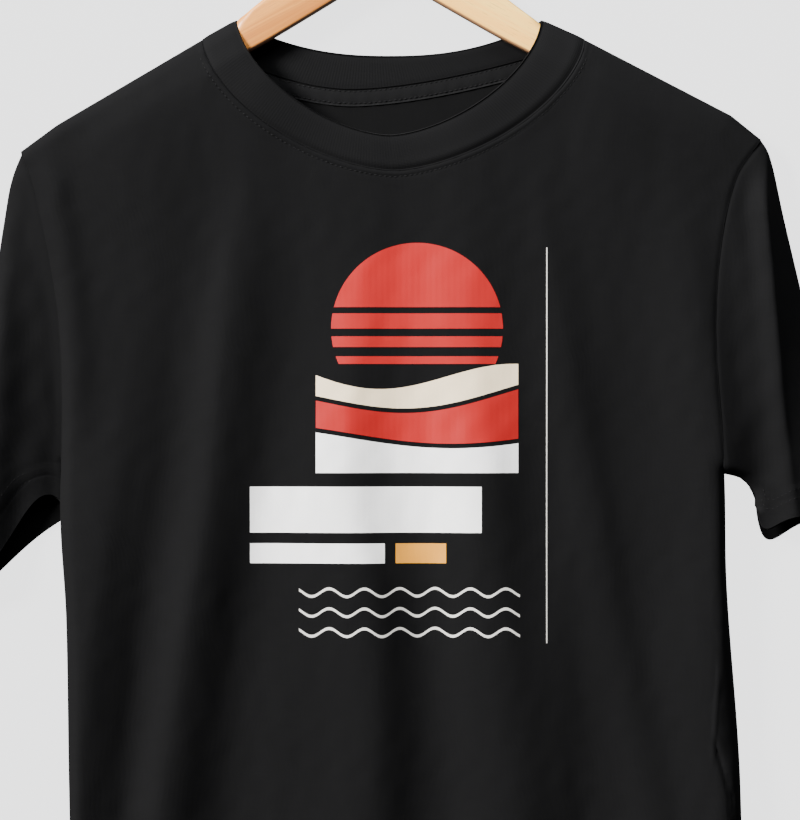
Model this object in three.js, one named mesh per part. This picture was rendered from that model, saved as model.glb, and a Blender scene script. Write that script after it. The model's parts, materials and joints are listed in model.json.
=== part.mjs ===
// A crew-neck T-shirt on a wooden hanger, laid on its back with the front of the shirt up.
// Millimetres: X runs across the shoulders, Y from the hem to the hook, Z up from the surface.
// While the shapes are made, Y = 0 is the top of the collar at the shoulders. At the end the
// whole is moved so that its origin is at the bottom centre of its box.

import * as THREE from 'three';

// Cloth
const jersey = 1.0;          // thickness of a single layer
const hemCloth = 1.8;        // thickness of the turned hems
const ribCloth = 2.2;        // thickness of the collar
const tapeCloth = 0.8;       // thickness of the tape behind the neck
const hemWidth = 22;
const cuffWidth = 20;
const tapeWidth = 9.5;
const seamGap = 1.2;         // between solids that a seam joins
const layerGap = 0.3;        // between solids that lie on each other

// Body outline as [x, y], from the hem up to the end of the shoulder
const hemY = -735;
const leftEdge = [
  [-205, hemY], [-210, -500], [-212, -392], [-216, -327], [-215, -250], [-218, -190],
  [-233, -112], [-241.6, -87.5],
];
const rightEdge = [
  [231, hemY], [228, -500], [219, -370], [217.4, -297], [211.6, -213], [214.8, -151],
  [225.7, -103], [241.6, -79.7],
];
const leftUnderarm = -290;
const rightUnderarm = -297;
const sideSteps = [hemY, -600, -500, -430, -370, -330];  // heights where the sides may bend
const hemDip = 5;            // how far the hem hangs lower in its middle
const rowCrowding = 1.5;     // how much closer the rows of a panel lie towards the shoulders
const columnSearch = { from: -115, step: 0.05 };  // from below the neckline, a column's top is sought

// Hanger, drawn level and then turned a little, as it hangs. Its hub and the arms up to the
// collar sit a little to the left of the middle between its tips.
const hanger = {
  span: 440, thick: 12, tipY: -67, slope: 28.15, turn: 0.8, centre: 1.1,
  clear: 2.7, collarClear: 5.7, rounding: 5.5, tipRadius: 9.5, hubHalf: 16, hubTop: 55,
  hubShift: -5.9, shiftFull: 100, shiftGone: 140,
  upper: [[24, 51.5], [50, 35], [81, 9.7]],
  lower: [[92, -22.4], [79, -15.2], [66, -8.2], [36, 9.3], [12, 23.5], [0, 27]],
  lowerDepths: [[170, 21], [130, 21.5]],   // how far the lower edge lies below the upper one
};
const hook = {
  wire: 3.6, sides: 8, steps: 44,
  route: [
    [0, 64], [2.5, 71], [11, 76], [19.5, 83], [24, 94], [23.5, 106], [17.5, 117.5], [6, 124.5],
    [-7, 124.5], [-18, 117.5], [-24, 106], [-25, 95],
  ],
};

// Neck: where the collar is sewn on, and its free edge, as half-widths, depths and a power
const neckPower = 1.63;
// The back sags most a little to the left of the middle, with one power on each side of that.
const seamCurve = {
  x: 1.7, half: 124.6, top: -14.3, depth: 85.4, backSag: 31.8, backLow: -25, backPowers: [1.9, 1.6],
};
const freeCurve = {
  x: -1.3, half: 99.5, top: -1.8, depth: 75.3, backSag: 22.5, backLow: -1.3, backPowers: [2.37, 2.37],
};
const tapeReach = 104;       // half the length of the tape behind the neck

// Heights
const chestLevel = 14.5;     // middle of the front cloth over the chest
const waistLevel = 12;
const hemLevel = 11;
const chestToWaist = [-130, -400];
const waistToHem = [-560, hemY];
const sideEdge = 5.5;        // where front and back meet at the sides
const sideRound = 14;
const bodySides = [{ round: 8, power: 4 }, { round: 14, power: 3 }];  // the front's turn, left and right
const shoulderRound = 9;
const shoulderPower = 2.5;   // how squarely the front turns over the shoulders
// The hanger's arms lift the front, up to their tips and over most of the shoulders: how far,
// and the distances from the shoulder and across the shirt where that fades out
const lifts = {
  tip: { height: 1.6, fades: [25, 100], ends: [214, 244] },
  arm: { height: 3.7, fades: [25, 180], ends: [150, 244] },
};
const band = { width: 21, slope: 0.28 };  // the lifted front slopes evenly down to the shoulders
const hangerBottom = ribCloth + 2 * layerGap;
const hangerMiddle = hangerBottom + hanger.thick / 2;

// Long folds of the front: a crest as [x, y] from top to hem, the rise in millimetres, the
// reach to its left and right, and the two heights between which it grows to full size
const folds = [
  { crest: [[-157, -110], [-169, -210], [-187, -310], [-201, -410], [-209, -520]], rise: 10,
    left: 15, right: 20, from: -11, full: -490 },
  { crest: [[-93, -110], [-107, -210], [-117, -310], [-133, -410], [-149, -520]], rise: 9.2,
    left: 16, right: 24, from: 12, full: -288 },
  { crest: [[-73, -110], [-66, -210], [-78, -310], [-92, -410], [-109, -520]], rise: -3.8,
    left: 25, right: 26, from: -37, full: -476 },
  { crest: [[-12, -110], [-26, -210], [-31, -310], [-13, -410], [-12, -520]], rise: 9.6,
    left: 38, right: 22, from: 60, full: -465 },
  { crest: [[45, -110], [49, -210], [62, -310], [71, -410], [80, -520]], rise: 9,
    left: 33, right: 26, from: 60, full: -380 },
  { crest: [[98, -110], [112, -210], [130, -310], [148, -410], [171, -520]], rise: 3.9,
    left: 18, right: 14, from: 0, full: -268 },
  { crest: [[183, -110], [202, -210], [211, -310], [208, -410], [213, -520]], rise: 8.5,
    left: 29, right: 17, from: -76, full: -247 },
  { crest: [[-139, -110], [-151, -210], [-164, -310], [-178, -410], [-187, -520]], rise: 2,
    left: 18, right: 10, from: -87, full: -336 },
  { crest: [[20, -110], [22, -210], [25, -310], [27, -410], [34, -520]], rise: -2.1,
    left: 23, right: 17, from: -250, full: -399 },
  { crest: [[110, -110], [110, -210], [113, -310], [106, -410], [111, -520]], rise: 2,
    left: 24, right: 13, from: -288, full: -470 },
];
// Folds of the sleeves and of the front beside the left armhole, which may also fade out again,
// and the crease that the left armhole seam lies in
const sleeveFolds = [
  { crest: [[246, -86], [245, -119], [247.5, -158], [251.5, -204], [255, -249], [259.5, -289],
    [265, -330]], rise: 7.5, left: 9, right: 13, from: -84, full: -130 },
  { crest: [[228, -100], [226, -150], [236, -200], [235, -250], [229, -300]], rise: 3.5,
    left: 24, right: 24, from: -100, full: -200 },
  { crest: [[-261, -100], [-258, -160], [-256, -220], [-259, -280], [-265, -340]], rise: 9,
    left: 8, right: 14, from: -74, full: -290 },
  { crest: [[-222, -100], [-211, -160], [-206, -220], [-206, -300]], rise: 3.5,
    left: 10, right: 10, from: -79, full: -117, fades: [-225, -300] },
];
const crease = { edge: leftEdge, depth: 6.5, inside: 3.5, outside: 13, from: -140, full: -300 };

// Sleeves: outer fold from the shoulder to the cuff, underarm fold, and how far and how fully the
// front and back rims of the opening bow out of the line between the two corners of the cuff
const sleeves = [
  {
    name: 'sleeve_left', side: -1, edge: leftEdge, underarm: leftUnderarm,
    outer: [[-242.8, -87.5], [-250, -107], [-255.3, -138.4], [-271, -250], [-292, -397]],
    under: [[-217.8, leftUnderarm], [-217.6, -303], [-217.5, -318]],
    frontBow: { most: -11.5, power: 6, fullness: 0.25 }, backBow: { most: 5, power: 12, fullness: 0.5 },
  },
  {
    name: 'sleeve_right', side: 1, edge: rightEdge, underarm: rightUnderarm,
    outer: [[242.8, -79.7], [250, -94], [260.3, -140.4], [284, -240], [310, -329]],
    under: [[218.8, rightUnderarm], [229, -301.5], [237, -309], [239, -319]],
    frontBow: { most: 13.5, power: 6, fullness: 1 }, backBow: { most: 20, power: 4, fullness: 1 },
  },
];

// Where the points of a sleeve lie: round one layer from fold to fold, and from armhole to cuff
const sleeveGrid = {
  around: [0, 0.008, 0.035, 0.08, 0.17, 0.3, 0.45, 0.6, 0.75, 0.87, 0.94, 0.98, 1],
  along: [0, 0.12, 0.26, 0.4, 0.55, 0.7, 0.82],
  foldFlattens: 0.3,         // share of the length over which the outer fold sinks to the sides' level
};

const colours = {
  jersey: 0x1b1b1c, rib: 0x1e1e1f, tape: 0x161617, wood: 0xdfb58c, steel: 0xb9bbbd,
};

const clamp = (value, low, high) => Math.min(high, Math.max(low, value));
const mix = (a, b, t) => a + (b - a) * t;
const ease = (from, to, value) => THREE.MathUtils.smoothstep((value - from) / (to - from), 0, 1);
const roundOff = (t, power = 2) => (1 - (1 - clamp(t, 0, 1)) ** power) ** (1 / power);

// x at a given y on the smooth curve through points listed upwards or downwards
function curveX(points, y) {
  const list = points[0][1] < points[points.length - 1][1] ? points : [...points].reverse();
  const last = list.length - 1;
  const height = clamp(y, list[0][1], list[last][1]);
  let k = 0;
  while (k < last - 1 && height > list[k + 1][1]) k += 1;
  const slope = (i) => {
    const below = list[Math.max(i - 1, 0)];
    const above = list[Math.min(i + 1, last)];
    return (above[0] - below[0]) / (above[1] - below[1]);
  };
  const run = list[k + 1][1] - list[k][1];
  const t = (height - list[k][1]) / run;
  return (2 * t ** 3 - 3 * t ** 2 + 1) * list[k][0] + (t ** 3 - 2 * t ** 2 + t) * run * slope(k)
    + (3 * t ** 2 - 2 * t ** 3) * list[k + 1][0] + (t ** 3 - t ** 2) * run * slope(k + 1);
}

// Distance from (x, y) to a line of straight pieces
function distanceTo(line, x, y) {
  let nearest = Infinity;
  for (let k = 1; k < line.length; k += 1) {
    const [ax, ay] = line[k - 1];
    const [bx, by] = line[k];
    const along = ((x - ax) * (bx - ax) + (y - ay) * (by - ay)) / ((bx - ax) ** 2 + (by - ay) ** 2);
    const t = clamp(along, 0, 1);
    nearest = Math.min(nearest, Math.hypot(x - mix(ax, bx, t), y - mix(ay, by, t)));
  }
  return nearest;
}

// From the hanger's level drawing to its turned place
function turned(x, y) {
  const angle = THREE.MathUtils.degToRad(hanger.turn);
  return [
    hanger.centre + x * Math.cos(angle) - y * Math.sin(angle),
    x * Math.sin(angle) + y * Math.cos(angle),
  ];
}

// The same for the hanger's own points, with its hub and arms moved to the left
function onHanger(x, y) {
  const shift = hanger.hubShift * (1 - ease(hanger.shiftFull, hanger.shiftGone, Math.abs(x)));
  const [placedX, placedY] = turned(x, y);
  return new THREE.Vector2(placedX + shift, placedY);
}

// Top outline of the shirt on one side: free edge of the collar, its seam, the hanger's tip
// and the end of the shoulder
function shoulderLine(side) {
  const end = side < 0 ? leftEdge[leftEdge.length - 1] : rightEdge[rightEdge.length - 1];
  return [
    [freeCurve.x + side * freeCurve.half, freeCurve.top],
    [seamCurve.x + side * seamCurve.half, seamCurve.top],
    turned(side * hanger.span / 2, hanger.tipY),
    end,
  ];
}
const shoulders = { [-1]: shoulderLine(-1), 1: shoulderLine(1) };

function shoulderY(x) {
  const line = shoulders[x < seamCurve.x ? -1 : 1].slice(1);
  let k = 1;
  while (k < line.length - 1 && Math.abs(x) > Math.abs(line[k][0])) k += 1;
  const [ax, ay] = line[k - 1];
  const [bx, by] = line[k];
  return mix(ay, by, (x - ax) / (bx - ax));
}

// Side of the body below the underarm as a line of straight pieces
function sideLine(edge, underarm) {
  return [...sideSteps, underarm].map((y) => [curveX(edge, y), y]);
}
const sides = [sideLine(leftEdge, leftUnderarm), sideLine(rightEdge, rightUnderarm)];

const toShoulder = (x, y) => distanceTo(shoulders[x < 0 ? -1 : 1], x, y);
const toSide = (x, y) => Math.min(distanceTo(sides[0], x, y), distanceTo(sides[1], x, y));

// Height that a list of folds adds at (x, y)
function foldHeight(list, x, y) {
  let height = 0;
  for (const fold of list) {
    const off = x - curveX(fold.crest, y);
    const reach = off < 0 ? fold.left : fold.right;
    const grown = ease(fold.from, fold.full, y) * (fold.fades ? 1 - ease(...fold.fades, y) : 1);
    height += fold.rise * grown * Math.exp(-((off / reach) ** 2));
  }
  return height;
}

function creaseDepth(x, y) {
  const off = curveX(crease.edge, y) - x;
  const reach = off < 0 ? crease.inside : crease.outside;
  return crease.depth * ease(crease.from, crease.full, y) * Math.exp(-((off / reach) ** 2));
}

// Middle of the front cloth before its edges turn down
function frontLevel(x, y) {
  const body = mix(chestLevel, waistLevel, ease(...chestToWaist, y));
  const base = mix(body, hemLevel, ease(...waistToHem, y));
  const arm = toShoulder(x, y);
  const lifted = ({ height, fades, ends }, lowered) => (
    (height * (1 - ease(...fades, arm)) - lowered) * (1 - ease(...ends, Math.abs(x))));
  const slope = band.slope * Math.max(0, band.width - arm);
  return base + lifted(lifts.tip, 0) + lifted(lifts.arm, slope)
    + foldHeight(folds, x, y) + foldHeight(sleeveFolds, x, y) - creaseDepth(x, y);
}

// The front turns down to the seams along the shoulders and the sides, and the back turns up
function frontHeight(x, y) {
  const shoulderEdge = hangerMiddle + seamGap / 2;
  const edge = sideEdge + seamGap / 2;
  const turn = roundOff(toShoulder(x, y) / shoulderRound, shoulderPower);
  const overShoulder = mix(shoulderEdge, frontLevel(x, y), turn);
  const side = bodySides[x < 0 ? 0 : 1];
  return mix(edge, overShoulder, roundOff(toSide(x, y) / side.round, side.power));
}

function backHeight(x, y, thickness) {
  const shoulderEdge = hangerMiddle - seamGap / 2;
  const edge = sideEdge - seamGap / 2;
  const overShoulder = mix(shoulderEdge, thickness / 2, roundOff(toShoulder(x, y) / shoulderRound));
  return mix(edge, overShoulder, roundOff(toSide(x, y) / shoulderRound));
}

// Lowest y of the front neckline and of the back one at x, for a curve grown by a gap
function frontNeckY(curve, x, grow = 0) {
  const across = Math.abs(x - curve.x) / (curve.half + grow);
  const down = Math.max(0, 1 - across ** neckPower) ** (1 / neckPower);
  return curve.top - (curve.depth + grow) * down;
}

function backNeckY(curve, x) {
  const off = x - curve.backLow;
  const run = curve.half + Math.sign(off) * (curve.x - curve.backLow);
  const across = Math.min(1, Math.abs(off) / run);
  return curve.top - curve.backSag * (1 - across ** curve.backPowers[off < 0 ? 0 : 1]);
}

// Closed solid from a grid of points in the middle of the cloth. Rows run along the cloth,
// and wrap joins the last column to the first.
function slab(grid, thicknessOf, wrap = false) {
  const rows = grid.length;
  const columns = grid[0].length;
  const positions = [];
  const at = (i, j) => grid[clamp(i, 0, rows - 1)][
    wrap ? (j + columns) % columns : clamp(j, 0, columns - 1)];
  for (let i = 0; i < rows; i += 1) {
    for (let j = 0; j < columns; j += 1) {
      const across = at(i, j + 1).clone().sub(at(i, j - 1));
      const along = at(i + 1, j).clone().sub(at(i - 1, j));
      const offset = across.cross(along).normalize().multiplyScalar(thicknessOf(i) / 2);
      const outer = grid[i][j].clone().add(offset);
      const inner = grid[i][j].clone().sub(offset);
      positions.push(outer.x, outer.y, outer.z, inner.x, inner.y, inner.z);
    }
  }
  const outer = (i, j) => 2 * (i * columns + (j % columns));
  const inner = (i, j) => outer(i, j) + 1;
  const faces = [];
  const quad = (a, b, c, d) => faces.push(a, b, c, a, c, d);
  const spans = wrap ? columns : columns - 1;
  for (let i = 0; i < rows - 1; i += 1) {
    for (let j = 0; j < spans; j += 1) {
      quad(outer(i, j), outer(i, j + 1), outer(i + 1, j + 1), outer(i + 1, j));
      quad(inner(i, j), inner(i + 1, j), inner(i + 1, j + 1), inner(i, j + 1));
    }
    if (!wrap) {
      const last = columns - 1;
      quad(outer(i, 0), outer(i + 1, 0), inner(i + 1, 0), inner(i, 0));
      quad(outer(i, last), inner(i, last), inner(i + 1, last), outer(i + 1, last));
    }
  }
  for (let j = 0; j < spans; j += 1) {
    const last = rows - 1;
    quad(outer(0, j), inner(0, j), inner(0, j + 1), outer(0, j + 1));
    quad(outer(last, j), outer(last, j + 1), inner(last, j + 1), inner(last, j));
  }
  const geometry = new THREE.BufferGeometry();
  geometry.setAttribute('position', new THREE.Float32BufferAttribute(positions, 3));
  geometry.setIndex(faces);
  geometry.computeVertexNormals();
  return geometry;
}

// Evenly spaced shares from one share up to the one before another
function sharesBetween(from, to, step, length) {
  const count = Math.max(1, Math.round((length * (to - from)) / step));
  return Array.from({ length: count }, (unused, k) => mix(from, to, k / count));
}

// One panel of the body. Columns spread between the side edges, and each runs from the hem up
// to the shoulder or the neckline, with a column at each corner of the neckline.
function bodyPanel({ neckY, height, columnStep, rows, edgeSteps, topSteps, neckAngles }) {
  const width = rightEdge[0][0] - leftEdge[0][0];
  const shoulderLeft = leftEdge[leftEdge.length - 1][0];
  const shoulderRight = rightEdge[rightEdge.length - 1][0];
  const shareAt = (x) => (x - shoulderLeft) / (shoulderRight - shoulderLeft);
  const neckHalf = seamCurve.half + seamGap;
  const neckColumns = neckAngles.map((degrees) => (
    neckHalf * Math.cos(THREE.MathUtils.degToRad(degrees)) ** (2 / neckPower)));
  const ends = edgeSteps.map((step) => step / width);
  const inner = ends.pop();
  const shares = [
    ...ends,
    ...sharesBetween(inner, shareAt(seamCurve.x - neckHalf), columnStep, width),
    ...neckColumns.map((x) => shareAt(seamCurve.x - x)),
    ...neckColumns.slice(0, -1).reverse().map((x) => shareAt(seamCurve.x + x)),
    ...sharesBetween(shareAt(seamCurve.x + neckHalf), 1 - inner, columnStep, width).slice(1),
    1 - inner,
    ...ends.map((share) => 1 - share).reverse(),
  ];
  const hemSteps = [0, hemWidth, hemWidth + 1];
  const topReach = topSteps[topSteps.length - 1];
  const rowCount = hemSteps.length + rows + topSteps.length - 1;
  const rowY = (row, low, high) => {
    if (row < hemSteps.length) return low + hemSteps[row];
    const k = row - hemSteps.length + 1;
    const start = low + hemSteps[hemSteps.length - 1];
    if (k <= rows) return mix(start, high - topReach, 1 - (1 - k / rows) ** rowCrowding);
    return high - topSteps[topSteps.length - 1 - (k - rows)];
  };
  const thicknessOf = (row) => (row < 2 ? hemCloth : jersey);
  const columnX = (share, y) => mix(curveX(leftEdge, y), curveX(rightEdge, y), share);
  const topY = (x) => (Math.abs(x - seamCurve.x) < neckHalf ? neckY(x) : shoulderY(x));
  const columns = shares.map((share) => {
    const low = hemY - hemDip * (1 - (2 * share - 1) ** 2);
    let high = columnSearch.from;
    while (high < topY(columnX(share, high))) high += columnSearch.step;
    return { share, low, high };
  });
  const grid = Array.from({ length: rowCount }, (unused, row) => (
    columns.map(({ share, low, high }) => {
      const y = rowY(row, low, high);
      const x = columnX(share, y);
      return new THREE.Vector3(x, y, height(x, y, thicknessOf(row)));
    })
  ));
  return slab(grid, thicknessOf);
}

const frontPanel = () => bodyPanel({
  neckY: (x) => frontNeckY(seamCurve, x, seamGap),
  height: frontHeight,
  columnStep: 13.5, rows: 23, edgeSteps: [0, 1.2, 4.5, 10], topSteps: [0, 1, 3.5, 8, 20, 34],
  neckAngles: [0, 8, 17, 26, 36, 46, 56, 65, 74, 82, 90],
});

const backPanel = () => bodyPanel({
  neckY: (x) => backNeckY(seamCurve, x) - seamGap,
  height: backHeight,
  columnStep: 30, rows: 13, edgeSteps: [0, 1.2, 4, 9], topSteps: [0, 1, 3.5, 9],
  neckAngles: [0, 9, 18, 27, 36, 45, 54, 66, 78, 90],
});

// Smooth curve through [x, y] points
const flatCurve = (points) => new THREE.SplineCurve(points.map(([x, y]) => new THREE.Vector2(x, y)));

// One sleeve: a flattened tube from the armhole to the cuff
function sleeve({ side, edge, underarm, outer, under, frontBow, backBow }) {
  const outerCurve = flatCurve(outer);
  const underCurve = flatCurve(under);
  const tip = edge[edge.length - 1];
  const armhole = (t) => {
    const y = mix(tip[1], underarm, t);
    return new THREE.Vector2(curveX(edge, y) + side * seamGap, y);
  };
  const outerCorner = outerCurve.getPoint(1);
  const innerCorner = underCurve.getPoint(1);
  const down = innerCorner.clone().sub(outerCorner).normalize();
  const outward = new THREE.Vector2(down.y, -down.x).multiplyScalar(-side);
  const cuff = (t, { most, power, fullness }) => outerCorner.clone().lerp(innerCorner, t)
    .addScaledVector(outward, most * Math.max(0, Math.sin(Math.PI * t ** power)) ** fullness);
  const flatPoint = (s, t, bow) => {
    const ends = armhole(t).lerp(cuff(t, bow), s);
    const folded = outerCurve.getPointAt(s).lerp(underCurve.getPointAt(s), t);
    const corners = armhole(0).lerp(outerCorner, s).lerp(armhole(1).lerp(innerCorner, s), t);
    return ends.add(folded).sub(corners);
  };
  const outerLine = outerCurve.getPoints(16).map((p) => [p.x, p.y]);
  const underLine = underCurve.getPoints(6).map((p) => [p.x, p.y]);
  const cuffStart = 1 - cuffWidth / outerCurve.getLength();
  const steps = [...sleeveGrid.along, cuffStart - 1 / outerCurve.getLength(), cuffStart, 1];
  const thicknessOf = (row) => (row >= steps.length - 2 ? hemCloth : jersey);
  const grid = steps.map((s, row) => {
    const fold = mix(hangerMiddle, sideEdge, ease(0, sleeveGrid.foldFlattens, s));
    const pointAt = (t, front) => {
      const p = flatPoint(s, t, front ? frontBow : backBow);
      const edgeHeight = mix(fold, sideEdge, t);
      if (t === 0 || t === 1) return new THREE.Vector3(p.x, p.y, edgeHeight);
      const radius = front ? sideRound : shoulderRound;
      const turn = roundOff(distanceTo(outerLine, p.x, p.y) / radius)
        * roundOff(distanceTo(underLine, p.x, p.y) / radius);
      const level = front ? frontLevel(p.x, p.y) : thicknessOf(row) / 2;
      return new THREE.Vector3(p.x, p.y, mix(edgeHeight, level, turn));
    };
    const inside = sleeveGrid.around.slice(1, -1).reverse();
    return [
      ...sleeveGrid.around.map((t) => pointAt(t, true)),
      ...inside.map((t) => pointAt(t, false)),
    ];
  });
  return slab(grid, thicknessOf, true);
}

// Ring of the collar: its front lies on the front of the shirt and its back on the surface,
// and it turns over the hanger's arms at the shoulders
function collar() {
  const steps = 28;
  const across = [0, 0.35, 0.7, 1];
  const point = (curve, front, turn) => {
    const a = (Math.PI * (1 - Math.cos(Math.PI * turn))) / 2;
    const cos = Math.cos(a);
    const bent = Math.sign(cos) * Math.abs(cos) ** (front ? 2 / neckPower : 1);
    const x = curve.x + (front ? -1 : 1) * curve.half * bent;
    const drop = curve.depth * Math.sin(a) ** (2 / neckPower);
    return [x, front ? curve.top - drop : backNeckY(curve, x)];
  };
  const heightAt = (x, y, front) => {
    const flat = front ? frontLevel(x, y) + layerGap : ribCloth / 2 + layerGap;
    return mix(hangerMiddle, flat, roundOff(toShoulder(x, y) / shoulderRound, front ? shoulderPower : 2));
  };
  const grid = across.map((share) => {
    const ring = [];
    for (const front of [true, false]) {
      for (let k = 0; k < steps; k += 1) {
        const [sx, sy] = point(seamCurve, front, k / steps);
        const [fx, fy] = point(freeCurve, front, k / steps);
        const low = heightAt(sx, sy, front);
        const high = heightAt(fx, fy, front);
        ring.push(new THREE.Vector3(mix(sx, fx, share), mix(sy, fy, share), mix(low, high, share)));
      }
    }
    return ring;
  });
  return slab(grid, () => ribCloth, true);
}

// Tape that covers the seam inside the back of the neck
function neckTape() {
  const steps = 20;
  const middle = jersey + layerGap + tapeCloth / 2;
  const grid = [tapeWidth + seamGap, seamGap].map((below) => (
    Array.from({ length: steps + 1 }, (unused, k) => {
      const x = seamCurve.x + mix(-tapeReach, tapeReach, k / steps);
      return new THREE.Vector3(x, backNeckY(seamCurve, x) - below, middle);
    })
  ));
  return slab(grid, () => tapeCloth);
}

// Outline of the right half of the hanger, from the middle of its hub down to the tip and back
function hangerOutline() {
  const slope = Math.tan(THREE.MathUtils.degToRad(hanger.slope));
  const { span, tipY, clear, collarClear, tipRadius } = hanger;
  const topAt = (x, below = clear) => tipY + (span / 2 - x) * slope - below;
  const tipX = span / 2 - tipRadius - 2;
  const tip = new THREE.Vector2(tipX, topAt(tipX) - tipRadius - 1);
  const upper = flatCurve([
    [hanger.hubHalf, hanger.hubTop], ...hanger.upper, [99, topAt(99, collarClear)],
    [122, topAt(122, collarClear)], [150, topAt(150)], [tipX + 4, topAt(tipX + 4)],
  ]).getSpacedPoints(17);
  const round = [50, 25, 0, -25, -50, -75, -100].map((degrees) => {
    const angle = THREE.MathUtils.degToRad(degrees);
    return tip.clone().add(new THREE.Vector2(Math.cos(angle), Math.sin(angle)).multiplyScalar(tipRadius));
  });
  const lower = flatCurve([
    [tipX - 8, tip.y - tipRadius + 1.5],
    ...hanger.lowerDepths.map(([x, depth]) => [x, topAt(x) - depth]),
    ...hanger.lower,
  ]).getSpacedPoints(15);
  return [...upper, ...round, ...lower];
}

// Plate with rounded edges: its outline is drawn in step by step towards both faces
function roundedPlate(outline, bottom, thick, radius) {
  const points = THREE.ShapeUtils.isClockWise(outline) ? [...outline].reverse() : outline;
  const count = points.length;
  const outward = points.map((p, k) => {
    const run = points[(k + 1) % count].clone().sub(points[(k + count - 1) % count]);
    return new THREE.Vector2(run.y, -run.x).normalize();
  });
  const quarter = [90, 60, 30, 0].map((degrees) => {
    const angle = THREE.MathUtils.degToRad(degrees);
    return [radius * (1 - Math.sin(angle)), radius * (1 - Math.cos(angle))];
  });
  const rings = [
    ...quarter.map(([rise, inset]) => [bottom + rise, inset]),
    ...quarter.reverse().map(([rise, inset]) => [bottom + thick - rise, inset]),
  ];
  const positions = [];
  for (const [height, inset] of rings) {
    points.forEach((p, k) => {
      const q = p.clone().addScaledVector(outward[k], -inset);
      positions.push(q.x, q.y, height);
    });
  }
  const faces = [];
  for (let ring = 0; ring < rings.length - 1; ring += 1) {
    for (let k = 0; k < count; k += 1) {
      const [a, b] = [ring * count + k, ring * count + ((k + 1) % count)];
      faces.push(a, b, b + count, a, b + count, a + count);
    }
  }
  const topRing = (rings.length - 1) * count;
  for (const [a, b, c] of THREE.ShapeUtils.triangulateShape(points, [])) {
    faces.push(topRing + a, topRing + b, topRing + c, a, c, b);
  }
  const geometry = new THREE.BufferGeometry();
  geometry.setAttribute('position', new THREE.Float32BufferAttribute(positions, 3));
  geometry.setIndex(faces);
  geometry.computeVertexNormals();
  return geometry;
}

function hangerBody() {
  const half = hangerOutline();
  const mirrored = half.slice(0, -1).reverse().map((p) => new THREE.Vector2(-p.x, p.y));
  const outline = [...half, ...mirrored].map((p) => onHanger(p.x, p.y));
  return roundedPlate(outline, hangerBottom, hanger.thick, hanger.rounding);
}

// Wire hook: up out of the hub, round to one side and over, with its end pointing down
function hookWire() {
  const route = [[0, hanger.hubTop + layerGap], ...hook.route];
  const path = new THREE.CatmullRomCurve3(route.map(([x, y]) => {
    const point = onHanger(x, y);
    return new THREE.Vector3(point.x, point.y, hangerMiddle);
  }));
  const ring = Array.from({ length: hook.sides }, (unused, k) => {
    const angle = (2 * Math.PI * (k + 0.5)) / hook.sides;
    return new THREE.Vector2(Math.cos(angle), Math.sin(angle)).multiplyScalar(hook.wire / 2);
  });
  return new THREE.ExtrudeGeometry(new THREE.Shape(ring), {
    steps: hook.steps, extrudePath: path, bevelEnabled: false,
  });
}

const cloth = (color) => new THREE.MeshStandardMaterial({ color, roughness: 0.95, metalness: 0 });
const wood = new THREE.MeshStandardMaterial({ color: colours.wood, roughness: 0.5, metalness: 0 });
const steel = new THREE.MeshStandardMaterial({ color: colours.steel, roughness: 0.25, metalness: 1 });

const group = new THREE.Group();
function addPiece(name, geometry, material) {
  const piece = new THREE.Mesh(geometry, material);
  piece.name = name;
  group.add(piece);
}

addPiece('body_front', frontPanel(), cloth(colours.jersey));
addPiece('body_back', backPanel(), cloth(colours.jersey));
for (const design of sleeves) addPiece(design.name, sleeve(design), cloth(colours.jersey));
addPiece('collar', collar(), cloth(colours.rib));
addPiece('neck_tape', neckTape(), cloth(colours.tape));
addPiece('hanger', hangerBody(), wood);
addPiece('hook', hookWire(), steel);

const box = new THREE.Box3().setFromObject(group);
const middle = box.getCenter(new THREE.Vector3());
group.position.set(-middle.x, -middle.y, -box.min.z);

export default group;
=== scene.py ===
import json
import math

import bmesh
import bpy
import numpy as np
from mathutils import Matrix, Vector

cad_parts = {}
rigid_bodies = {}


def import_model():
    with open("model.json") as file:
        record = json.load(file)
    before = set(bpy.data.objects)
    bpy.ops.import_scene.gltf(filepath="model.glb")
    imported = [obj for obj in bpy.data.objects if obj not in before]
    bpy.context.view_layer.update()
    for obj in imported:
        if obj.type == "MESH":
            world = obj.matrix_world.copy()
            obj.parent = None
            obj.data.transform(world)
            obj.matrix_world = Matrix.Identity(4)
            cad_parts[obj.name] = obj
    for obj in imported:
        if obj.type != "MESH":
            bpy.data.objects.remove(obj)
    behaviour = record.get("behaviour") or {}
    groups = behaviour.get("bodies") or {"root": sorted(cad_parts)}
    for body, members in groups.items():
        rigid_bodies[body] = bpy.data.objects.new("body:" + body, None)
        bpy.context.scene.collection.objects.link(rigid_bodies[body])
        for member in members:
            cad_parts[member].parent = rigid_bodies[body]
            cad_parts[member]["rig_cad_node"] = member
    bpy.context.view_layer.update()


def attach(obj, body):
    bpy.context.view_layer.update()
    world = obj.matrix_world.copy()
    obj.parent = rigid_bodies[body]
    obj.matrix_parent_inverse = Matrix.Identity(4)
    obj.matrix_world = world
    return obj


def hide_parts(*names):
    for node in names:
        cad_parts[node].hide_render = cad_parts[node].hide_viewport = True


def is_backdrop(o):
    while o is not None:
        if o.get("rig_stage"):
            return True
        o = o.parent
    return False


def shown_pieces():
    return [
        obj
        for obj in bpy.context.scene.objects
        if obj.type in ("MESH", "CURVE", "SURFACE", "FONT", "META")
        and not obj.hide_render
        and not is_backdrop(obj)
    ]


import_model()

# Shapes are drawn in millimetres in the pattern's own frame: x across the shoulders, y = 0 at
# the top of the collar, z up from the table. These move them into the row frame.
place = {"x": -8.986, "y": 306.497, "scale": 0.001}


def toFrame(points):
    return (np.asarray(points, float) + (place["x"], place["y"], 0)) * place["scale"]


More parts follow.
